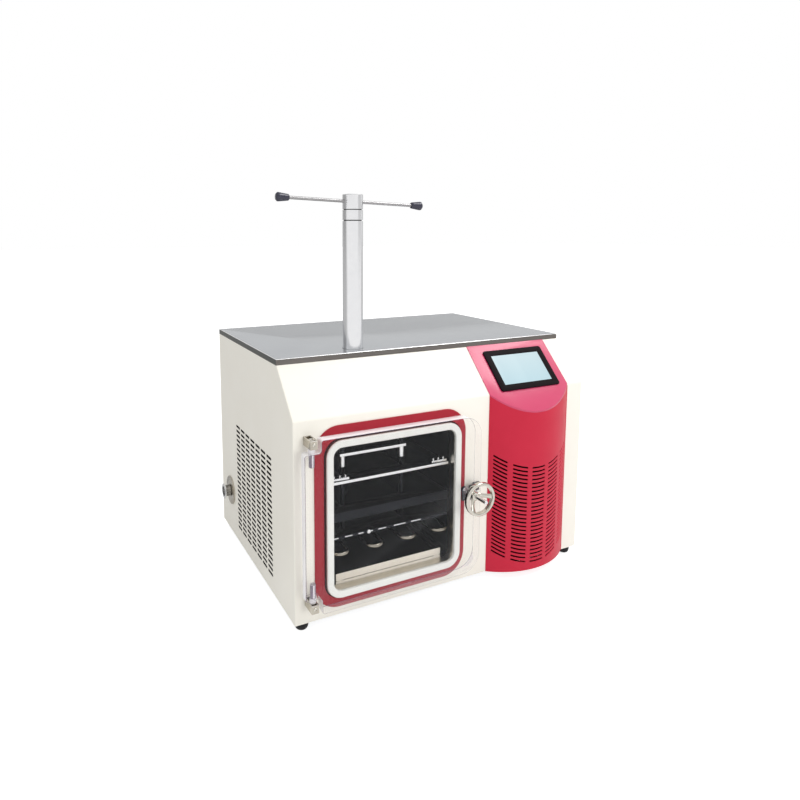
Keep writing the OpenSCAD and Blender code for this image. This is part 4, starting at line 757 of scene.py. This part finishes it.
def fasciaSlots(s):
    # Each column is a field of its own, and its slots lie parallel to the slope
    middleX = (fasciaLow.x + fasciaHigh.x) / 2
    centreWidth, innerWidth, outerWidth = s["slotWidths"]
    inner = (centreWidth + innerWidth) / 2 + s["rib"]
    outer = inner + (innerWidth + outerWidth) / 2 + s["rib"]
    columns = [(0, centreWidth), (inner, innerWidth), (-inner, innerWidth),
               (outer, outerWidth), (-outer, outerWidth)]
    thick = s["slotTall"] * math.cos(slopeAngle) * mm
    rise = s["pitch"] * math.cos(slopeAngle) * mm
    back = s["rows"] * s["pitch"] * math.sin(slopeAngle) * mm + s["cutterBelow"] * mm
    fields = []
    for offset, width in columns:
        field = roundedPrism(width * mm, thick, roundEnd * thick, back + s["cutterAbove"] * mm,
                             Rows=s["rows"], PitchUp=rise)
        start = Vector((middleX + offset * mm, fasciaLow.y, fasciaLow.z + s["firstRow"] * mm))
        fields.append(placed(field, acrossX, offSlope, -upSlope, start + back * upSlope))
    return fields


arc, fasciaRest = bulgedSheet(fascia)
for field in fasciaSlots(fascia):
    arc = cutBy(arc, field)
addPiece("fascia.slotted", smoothed(joined([arc] + fasciaRest, "fascia")), "cabinet", "red_paint",
         ["fascia"])
# A black sheet of painted shade stands behind the fascia's slots
shadeInset = fascia["shadeInset"] * mm
shadeFront, shadeBack = (frontLow.y - out * mm for out in fascia["shadeLayer"])
shadeLow, shadeDrop = (end * mm for end in fascia["shadeEnds"])
ductFilter = block(Vector((fasciaLow.x + shadeInset, shadeFront, fasciaLow.z + shadeLow)),
                   Vector((fasciaHigh.x - shadeInset, shadeBack, creaseZ - shadeDrop)))
addPiece("ductFilter", ductFilter, "cabinet", "foam")
print("fascia slotted")

# ---- chamber mouth and door ----


def mouthRing(outset, face, corner, backY, depth, edge):
    # A frame around the mouth; outset is how far its outside lies beyond the gasket's, all in mm
    ring = grown(sealTree, {
        "Width": gasketHigh.x - gasketLow.x + (2 * outset - face) * mm,
        "Height": gasketHigh.z - gasketLow.z + (2 * outset - face) * mm,
        "Corner": corner * mm, "FaceWidth": face * mm, "Depth": depth * mm, "Edge": edge * mm})
    middle = (gasketLow + gasketHigh) / 2
    bm = bmesh.new()
    bm.from_mesh(ring)
    bmesh.ops.recalc_face_normals(bm, faces=bm.faces)
    ring = placed(meshFrom(bm, "ring"), acrossX, upZ, frontward,
                  Vector((middle.x, backY - depth * mm / 2, middle.z)))
    return smoothed(ring, 50)


def setMouth(s, rings):
    # The lip seal, the steel lip that it sits on, a dark ring of painted shade in the gap around that, and
    # the bright mouth inside
    reach = (gasketHigh.y - gasketLow.y) / mm
    outer = s["corner"] + s["faceWidth"] / 2
    seal = mouthRing(0, s["faceWidth"], s["corner"], gasketHigh.y, reach - s["setBack"], s["edge"])
    addPiece("mouthGasket.lip", seal, "cabinet", "silicone", ["mouth_gasket"])
    proud, gap, sheet = rings["lipProud"], rings["gap"], rings["linerSheet"]
    lip = mouthRing(proud, rings["lipFace"], outer + proud - rings["lipFace"] / 2, gasketHigh.y,
                    rings["lipDepth"], rings["lipEdge"])
    addPiece("mouthLip", lip, "cabinet", "turned_steel", finish="mouthLipSteel")
    shade = mouthRing(gap, gap, outer + gap / 2, gasketHigh.y, rings["gapSheet"], rings["edge"])
    addPiece("mouthGap", shade, "cabinet", "foam", finish="paintedGapShade")
    inset = s["faceWidth"]
    liner = mouthRing(-inset - rings["linerGap"], sheet, outer - inset - sheet / 2,
                      frontLow.y + rings["linerBack"] * mm, rings["linerDepth"], rings["edge"])
    addPiece("mouthLiner", liner, "cabinet", "turned_steel", finish="mouthLipSteel")


setMouth(gasket, mouthRings)

# How far the normals of a bevel lean: below the range lies the cut edge, above it the flat face
doorCast = {"ease": 1.2, "bevelLean": (0.35, 0.98)}
bevelFrom, bevelTo = doorCast["bevelLean"]
doorPiece = addPiece("door.cast", eased(weldedCopy("door"), doorCast["ease"]), "door", "acrylic", ["door"])
# The cut edges are painted white, partly frosting and partly painted highlight, and the bevels lilac as
# painted reflection
paintFaces(doorPiece, "acrylicSawnEdgeAndHighlight", lambda centre, normal: abs(normal.y) < bevelFrom)
paintFaces(doorPiece, "acrylicBevelPaintedReflection", lambda centre, normal: bevelFrom <= abs(normal.y) < bevelTo)
print("door cast")

# ---- nodes dressed as they are ----
# Edge rounding in mm
dressed = {
    "console": 0.6, "screen_bezel": 0.9, "display": 0.0, "mouth_surround": 0.8,
    "hinge_brackets": 0.7, "hinge_pins": 0.4, "hinge_bushes": 0.5,
    "latch_bush": 0.5, "latch_spindle": 0.0, "latch_dog": 0.6, "latch_keeper": 0.5, "thrust_washer": 0.4,
    "press_column": 0.0, "press_head": 0.0, "t_bar": 0.0, "press_plate": 0.7, "upper_shelf": 0.7,
    "middle_shelf": 0.7, "bottom_shelf": 0.7, "shelf_fittings": 0.4, "guide_rods": 0.0, "drip_tray": 0.3,
    "chamber_shell": 0.0, "press_ram": 0.0, "lead_screw": 0.0, "vacuum_port": 0.0, "port_escutcheon": 0.6,
    "vacuum_pipe": 0.0, "compressor": 0.0, "evaporator_coil": 0.0, "fan_motor": 0.8, "fan_rotor": 0.0,
    "refrigerant_lines": 0.0, "power_inlet": 0.3, "power_switch": 0.4, "rear_screws": 0.3,
    "column_bolts": 0.4,
    "feet": 0.0, "bar_knobs": 0.0, "rear_panel": 0.0, "base_pan": 0.0,
}
# Nodes whose finish is more special than their slot's; some are darker or pinker copies that paint shade or
# sheen
ownFinish = {
    "hinge_brackets": "satinNickel", "guide_rods": "shadedChamberSteel", "evaporator_coil": "coilTube",
    "lead_screw": "shadedChamberSteel", "press_ram": "shadedChamberSteel", "port_escutcheon": "satinNickel",
    "drip_tray": "shadedChamberSteel", "t_bar": "drawnBar", "console": "redCoatPaintedSheen",
    "mouth_surround": "shadedRedSurroundCoat", "hinge_bushes": "whiteNylon",
}


def dressNodes(settings):
    pieces = {}
    for node, width in settings.items():
        mesh = weldedCopy(node)
        mesh = eased(mesh, width) if width else smoothed(mesh)
        pieces[node] = addPiece(node + ".dressed", mesh, bodyOf(node), nodeSlot[node], [node],
                                ownFinish.get(node))
    return pieces


worktopRim = 1.8


def rimRounded(node, widthMm):
    # The sheet is folded down all round, so only its outer upper edges are round
    mesh = weldedCopy(node)
    low, high = cornersOf(node)
    bm = bmesh.new()
    bm.from_mesh(mesh)
    sides = [(0, low.x), (0, high.x), (1, low.y), (1, high.y)]
    rim = [edge for edge in bm.edges if all(high.z - v.co.z < 0.1 * mm for v in edge.verts)
           and any(all(abs(v.co[axis] - value) < 0.1 * mm for v in edge.verts) for axis, value in sides)]
    bmesh.ops.bevel(bm, geom=rim, offset=widthMm * mm, offset_type="OFFSET", segments=3, profile=0.5,
                    affect="EDGES", clamp_overlap=True)
    return smoothed(meshFrom(bm, node), 15)


pieces = dressNodes(dressed)
pieces["worktop"] = addPiece("worktop.dressed", rimRounded("worktop", worktopRim), bodyOf("worktop"),
                             nodeSlot["worktop"], ["worktop"])
print("dressed nodes:", len(dressed))


def nearFront(node, marginMm):
    front = cornersOf(node)[0].y + marginMm * mm
    return lambda centre, normal: centre.y < front


# The worktop's top is mirror bright, and its turned-down edge is painted darker as painted shade, darkest on
# the left.
# The rims of the worktop and the brackets and the front edges of two plates are painted bright as painted
# highlights
accents = {"uprightBelow": 0.3, "leftBelow": -0.9, "flatFrom": 0.98, "plateEdge": 0.9, "trayWall": 2.2}


def rimHighlight(centre, normal):
    return accents["uprightBelow"] <= normal.z < accents["flatFrom"]


paintFaces(pieces["worktop"], "shadedWorktopFlange",
           lambda centre, normal: abs(normal.z) < accents["uprightBelow"])
paintFaces(pieces["worktop"], "darkerShadedWorktopSide", lambda centre, normal: normal.x < accents["leftBelow"])
paintFaces(pieces["worktop"], "paintedHighlightSteel", rimHighlight)
paintFaces(pieces["hinge_brackets"], "paintedHighlightSteel", rimHighlight)
for node in ("press_plate", "upper_shelf"):
    paintFaces(pieces[node], "paintedHighlightSteel", nearFront(node, accents["plateEdge"]))
# The bottoms of the grooves turned in the press head lie in shadow, painted on them in black as painted
# shade
headLow, headHigh = cornersOf("press_head")
headAxis, headRadius = (headLow + headHigh) / 2, (headHigh.x - headLow.x) / 2
groove = {"deep": 1.0, "belowTop": 4.0}


def shadedGrooveBottom(centre, normal):
    out = math.hypot(centre.x - headAxis.x, centre.y - headAxis.y)
    return (out < headRadius - groove["deep"] * mm and abs(normal.z) < 0.5
            and centre.z < headHigh.z - groove["belowTop"] * mm)


paintFaces(pieces["press_head"], "blackEnamelAndShade", shadedGrooveBottom)
# The tray's front wall is painted pale as painted light, where the light from the window falls on the dark
# tray
paintFaces(pieces["drip_tray"], "paintedLitTrayWall", nearFront("drip_tray", accents["trayWall"]))

# ---- handwheel ----
wheel = {
    "rim": [(31.5, 17.5), (33.0, 16.2), (36.0, 16.0), (38.2, 17.2), (39.0, 19.5), (39.0, 24.0), (38.0, 26.8),
            (36.0, 28.0), (33.5, 28.0), (31.8, 26.6), (31.5, 24.0), (31.9, 20.5)],
    "hub": [(4.55, 0.0), (9.2, 0.0), (10.0, 0.8), (10.0, 6.0), (9.0, 8.2), (7.0, 9.0), (4.55, 9.0)],
    "spokes": 3,
    "rimSteps": 72,
    "hubSteps": 40,
    "spokePath": [(7.0, 4.6, 5.6, 2.9), (12.0, 5.4, 5.4, 2.7), (18.0, 8.6, 4.9, 2.4), (24.0, 13.4, 4.9, 2.4),
                  (29.0, 18.2, 5.6, 2.7), (33.5, 21.4, 7.2, 3.2)],
    "sides": 16,
}


def spokeMesh(s):
    # Oval sections along a dished path, closed at both ends
    bm = bmesh.new()
    rings = []
    path = s["spokePath"]
    for i, (radius, height, halfWide, halfThick) in enumerate(path):
        before, after = path[max(i - 1, 0)], path[min(i + 1, len(path) - 1)]
        lean = math.atan2(after[1] - before[1], after[0] - before[0])
        ring = []
        for k in range(s["sides"]):
            angle = 2 * math.pi * k / s["sides"]
            across, thick = halfWide * math.cos(angle), halfThick * math.sin(angle)
            ring.append(bm.verts.new(((radius - thick * math.sin(lean)) * mm, across * mm,
                                      (height + thick * math.cos(lean)) * mm)))
        rings.append(ring)
    joinRings(bm, rings)
    bm.faces.new(rings[0])
    bm.faces.new(rings[-1])
    bmesh.ops.recalc_face_normals(bm, faces=bm.faces)
    return meshFrom(bm, "spoke")


def castWheel(s):
    low, high = cornersOf("handwheel")
    rim = lathed([(r * mm, h * mm) for r, h in s["rim"]], s["rimSteps"], closed=True)
    hub = lathed([(r * mm, h * mm) for r, h in s["hub"]], s["hubSteps"], closed=True)
    spokes = grown(ringTree, {"Count": s["spokes"], "Step": 2 * math.pi / s["spokes"]}, spokeMesh(s))
    wheelMesh = joined([rim, hub, spokes], "handwheel")
    middle = (low + high) / 2
    return placed(wheelMesh, acrossX, upZ, frontward, Vector((middle.x, high.y, middle.z)))


addPiece("handwheel.cast", smoothed(castWheel(wheel), 40), "handwheel", "chrome", ["handwheel"])
print("handwheel cast")

# ---- small fittings ----
screwHead = {"radius": 4.2, "height": 2.2, "socketAcross": 2.2, "socketDeep": 1.5}


def socketScrew(s):
    # A button head with a hexagon socket; every fourth point of a ring is a corner of the hexagon
    steps = 24

    def hexRadius(angle):
        return s["socketAcross"] * mm / math.cos((angle + math.pi / 6) % (math.pi / 3) - math.pi / 6)

    rounds = [(s["radius"], 0.0), (s["radius"], 0.5), (s["radius"] * 0.93, s["height"] * 0.55),
              (s["radius"] * 0.75, s["height"] * 0.86), (s["radius"] * 0.62, s["height"])]
    bm = bmesh.new()
    rings = []
    angles = [2 * math.pi * i / steps for i in range(steps)]
    for radius, height in rounds:
        rings.append([bm.verts.new((radius * mm * math.cos(a), radius * mm * math.sin(a), height * mm))
                      for a in angles])
    for height in (s["height"], s["height"] - s["socketDeep"]):
        rings.append([bm.verts.new((hexRadius(a) * math.cos(a), hexRadius(a) * math.sin(a), height * mm))
                      for a in angles])
    joinRings(bm, rings)
    bm.faces.new(rings[0][::-1])
    bm.faces.new(rings[-1])
    bmesh.ops.recalc_face_normals(bm, faces=bm.faces)
    return smoothed(meshFrom(bm, "socketScrew"))


def atPoints(pattern, spots, turn):
    # Copies of a small mesh at a list of places
    model = helper("model", pattern)
    start = bpy.data.meshes.new("spots")
    start.from_pydata([tuple(p) for p in spots], [], [])
    mesh = grown(pinTree, {"Piece": model, "Turn": turn}, start)
    bpy.data.objects.remove(model)
    return mesh


bracketLow, bracketHigh = cornersOf("hinge_brackets")
brackets = {"tall": 18.0, "screwDown": 9.5}
bracketMiddleX = (bracketLow.x + bracketHigh.x) / 2
bracketFloors = (bracketLow.z, bracketHigh.z - brackets["tall"] * mm)
bracketScrews = atPoints(
    socketScrew(screwHead),
    [(bracketMiddleX, bracketLow.y, z + brackets["screwDown"] * mm) for z in bracketFloors],
    (math.pi / 2, 0, 0))
addPiece("bracketScrews", bracketScrews, "cabinet", "turned_steel", finish="polishedChrome")

# Guide bushes hang under the press plate around the four rods
plateBush = {"inner": 5.3, "outer": 6.6, "long": 24.0}


def guideBush(s):
    profile = [(s["inner"], 0), (s["outer"] - 0.5, 0), (s["outer"], 0.5), (s["outer"], s["long"]),
               (s["inner"], s["long"])]
    return smoothed(lathed([(r * mm, -h * mm) for r, h in profile], 32, closed=True))


rodLow, rodHigh = cornersOf("guide_rods")
rodRadius = 5 * mm
plateUnder = cornersOf("press_plate")[0].z
rodSpots = [(x, y, plateUnder) for x in (rodLow.x + rodRadius, rodHigh.x - rodRadius)
            for y in (rodLow.y + rodRadius, rodHigh.y - rodRadius)]
# The bushes take the near-white steel as painted highlights
addPiece("plateBushes", atPoints(guideBush(plateBush), rodSpots, (0, 0, 0)), "ram", "turned_steel",
         finish="paintedHighlightSteel")

# Bright bars along the bottom shelf's front edge, painted highlights where the edge glints: start and length
# in mm from the shelf's left end
shelfTabs = {"runs": [(5, 11), (31, 18), (63, 13), (92, 7), (112, 20), (151, 31), (196, 26)],
             "tall": 2.2, "thick": 1.2, "proud": 0.4, "drop": 2.4}
shelfLow, shelfHigh = cornersOf("bottom_shelf")


def glintBarsAlongShelf(s):
    tabs = []
    for start, length in s["runs"]:
        tab = roundedPrism(length * mm, s["tall"] * mm, roundEnd * s["tall"] * mm, s["thick"] * mm)
        tabs.append(placed(tab, acrossX, upZ, frontward,
                           Vector((shelfLow.x + (start + length / 2) * mm, shelfLow.y + s["proud"] * mm,
                                   shelfHigh.z - s["drop"] * mm))))
    return joined(tabs, "shelfTabs")


addPiece("shelfTabs", smoothed(glintBarsAlongShelf(shelfTabs)), "cabinet", "turned_steel",
         finish="paintedHighlightSteel")
sensorKnob = {"profile": [(0, 0), (3.4, 0), (4.2, 0.8), (4.2, 3.4), (3.2, 4.4), (0, 4.8)], "along": 88,
              "proud": 0.2, "drop": 2}
knob = placed(lathed([(r * mm, h * mm) for r, h in sensorKnob["profile"]], 28), acrossX, upZ, frontward,
              Vector((shelfLow.x + sensorKnob["along"] * mm, shelfLow.y + sensorKnob["proud"] * mm,
                      shelfHigh.z - sensorKnob["drop"] * mm)))
# The knob takes the near-white steel as a painted highlight
addPiece("sensorKnob", smoothed(knob), "cabinet", "turned_steel", finish="paintedHighlightSteel")
print("small fittings set")

for node in sorted(shownNodes):
    setMaterial(nodes[node], materialOf(node))
print("plain nodes given their finish:", len(shownNodes))


# ---- studio ----
studio = {
    "worldFill": 0.88,
    "flagAzimuths": (52, 138, 330),
    "flagDepth": (0.3, 0.62, 0.35),
    "flagSpread": (0.55, 0.82, 0.9),
    "bandDepth": 0.35,
    "bandRise": (0.14, 0.5),
    "bandSoft": (0.06, 0.12),
    "bandAhead": (-0.45, -0.89, 0),
    "bandSpread": (0.1, 0.6),
    "keyPlace": (1.5, -0.9, 3.1),
    "keyTarget": (0.05, -0.15, 0.45),
    "keySize": (2.4, 1.1),
    "keyPower": 40,
    "frontPlace": (0.2, -3.0, 0.9),
    "frontTarget": (0, -0.2, 0.25),
    "frontSize": (0.9, 0.9),
    "frontPower": 14.5,
    "floorSize": 60,
    "floorTone": 0.72,
    "floorGlow": 0.75,
    "floorMirror": 1.0,
    "cardAzimuths": (115, 30),
    "cardDepth": (0.45, 0.45),
    "cardSpread": (0.26, 0.77),
}


def shadeByAzimuth(tree, flat, level, azimuths, depths, spreads):
    # Each grey flag darkens the mirrored light around its azimuth in degrees
    for azimuth, depth, spread in zip(azimuths, depths, spreads):
        axis = (math.cos(math.radians(azimuth)), math.sin(math.radians(azimuth)), 0)
        near = addNode(tree, "ShaderNodeVectorMath", {0: flat}, {1: axis}, operation="DOT_PRODUCT")
        shade = mapped(tree, near.outputs["Value"],
                       {1: spread, 2: spread + (1 - spread) * 0.5, 3: 1.0, 4: 1 - depth},
                       interpolation_type="SMOOTHSTEP")
        level = product(tree, level, shade)
    return level


def flatDirection(tree, way):
    level = addNode(tree, "ShaderNodeVectorMath", {0: way}, {1: (1, 1, 0)}, operation="MULTIPLY")
    return addNode(tree, "ShaderNodeVectorMath", {0: level.outputs[0]}, operation="NORMALIZE").outputs[0]


def seenByEye(tree, path):
    # Camera rays, and those that pass through clear glass
    straight = {0: path.outputs["Is Camera Ray"], 1: path.outputs["Is Transmission Ray"]}
    return wire(tree, "ShaderNodeMath", straight, operation="MAXIMUM")


def makeWorld(s):
    # Even white to the camera; mirrors see white with grey flags and a dark band in front, as in a studio
    world = bpy.data.worlds.new("studio")
    bpy.context.scene.world = world
    world.use_nodes = True
    tree = world.node_tree
    tree.nodes.clear()
    path = addNode(tree, "ShaderNodeLightPath")
    way = addNode(tree, "ShaderNodeTexCoord").outputs["Generated"]
    flat = flatDirection(tree, way)
    lift = addNode(tree, "ShaderNodeSeparateXYZ", {0: way}).outputs[2]
    (low, high), (softLow, softHigh) = s["bandRise"], s["bandSoft"]
    rise = mapped(tree, lift, {1: low, 2: low + softLow}, interpolation_type="SMOOTHSTEP")
    fall = mapped(tree, lift, {1: high, 2: high + softHigh, 3: 1.0, 4: 0.0},
                  interpolation_type="SMOOTHSTEP")
    ahead = addNode(tree, "ShaderNodeVectorMath", {0: flat}, {1: s["bandAhead"]}, operation="DOT_PRODUCT")
    front = mapped(tree, ahead.outputs["Value"], dict(zip((1, 2), s["bandSpread"])))
    band = product(tree, product(tree, rise, fall), front)
    tent = mapped(tree, band, {3: 1.0, 4: 1 - s["bandDepth"]})
    flagged = shadeByAzimuth(tree, flat, tent, s["flagAzimuths"], s["flagDepth"], s["flagSpread"])
    mirror = addNode(tree, "ShaderNodeMix", {0: path.outputs["Is Glossy Ray"], 3: flagged},
                     {2: s["worldFill"]}, data_type="FLOAT")
    strength = addNode(tree, "ShaderNodeMix", {0: seenByEye(tree, path), 2: mirror.outputs[0]}, {3: 1.0},
                       data_type="FLOAT")
    sky = addNode(tree, "ShaderNodeBackground", {"Strength": strength.outputs[0]}, {"Color": (1, 1, 1, 1)})
    addNode(tree, "ShaderNodeOutputWorld", {"Surface": sky.outputs[0]})


def addLamp(name, place, target, size, power, mirrored=True):
    data = bpy.data.lights.new(name, "AREA")
    data.shape = "RECTANGLE"
    data.size, data.size_y = size
    data.energy = power
    lamp = bpy.data.objects.new(name, data)
    lamp.visible_glossy = mirrored
    lamp.location = place
    lamp.rotation_euler = (Vector(target) - Vector(place)).to_track_quat("-Z", "Y").to_euler()
    bpy.context.scene.collection.objects.link(lamp)


def makeFloor(s):
    half = s["floorSize"] / 2
    mesh = bpy.data.meshes.new("floor")
    corners = [(-half, -half, 0), (half, -half, 0), (half, half, 0), (-half, half, 0)]
    mesh.from_pydata(corners, [], [(0, 1, 2, 3)])
    floor = bpy.data.objects.new("floor", mesh)
    bpy.context.scene.collection.objects.link(floor)
    material, tree = newMaterial("paleFloor")
    path = addNode(tree, "ShaderNodeLightPath")
    glow = wire(tree, "ShaderNodeMath", {0: seenByEye(tree, path)}, {1: s["floorGlow"]},
                operation="MULTIPLY")
    paint = addNode(tree, "ShaderNodeBsdfDiffuse", None, {"Color": (s["floorTone"],) * 3 + (1,)})
    light = addNode(tree, "ShaderNodeEmission", {"Strength": glow}, {"Color": (1, 1, 1, 1)})
    plain = addNode(tree, "ShaderNodeAddShader", {0: paint.outputs[0], 1: light.outputs[0]})
    # Mirrors see grey cards lying on the floor
    place = addNode(tree, "ShaderNodeTexCoord").outputs["Object"]
    even = addNode(tree, "ShaderNodeValue")
    even.outputs[0].default_value = s["floorMirror"]
    carded = shadeByAzimuth(tree, flatDirection(tree, place), even.outputs[0], s["cardAzimuths"],
                            s["cardDepth"], s["cardSpread"])
    cards = addNode(tree, "ShaderNodeEmission", {"Strength": carded}, {"Color": (1, 1, 1, 1)})
    shader = addNode(tree, "ShaderNodeMixShader", {0: path.outputs["Is Glossy Ray"], 1: plain.outputs[0],
                                                   2: cards.outputs[0]})
    closeMaterial(tree, shader)
    setMaterial(floor, material)


makeWorld(studio)
addLamp("keyLight", studio["keyPlace"], studio["keyTarget"], studio["keySize"], studio["keyPower"])
addLamp("frontLight", studio["frontPlace"], studio["frontTarget"], studio["frontSize"],
        studio["frontPower"], mirrored=False)
makeFloor(studio)
bpy.context.scene.view_settings.view_transform = "Standard"
print("studio lit")
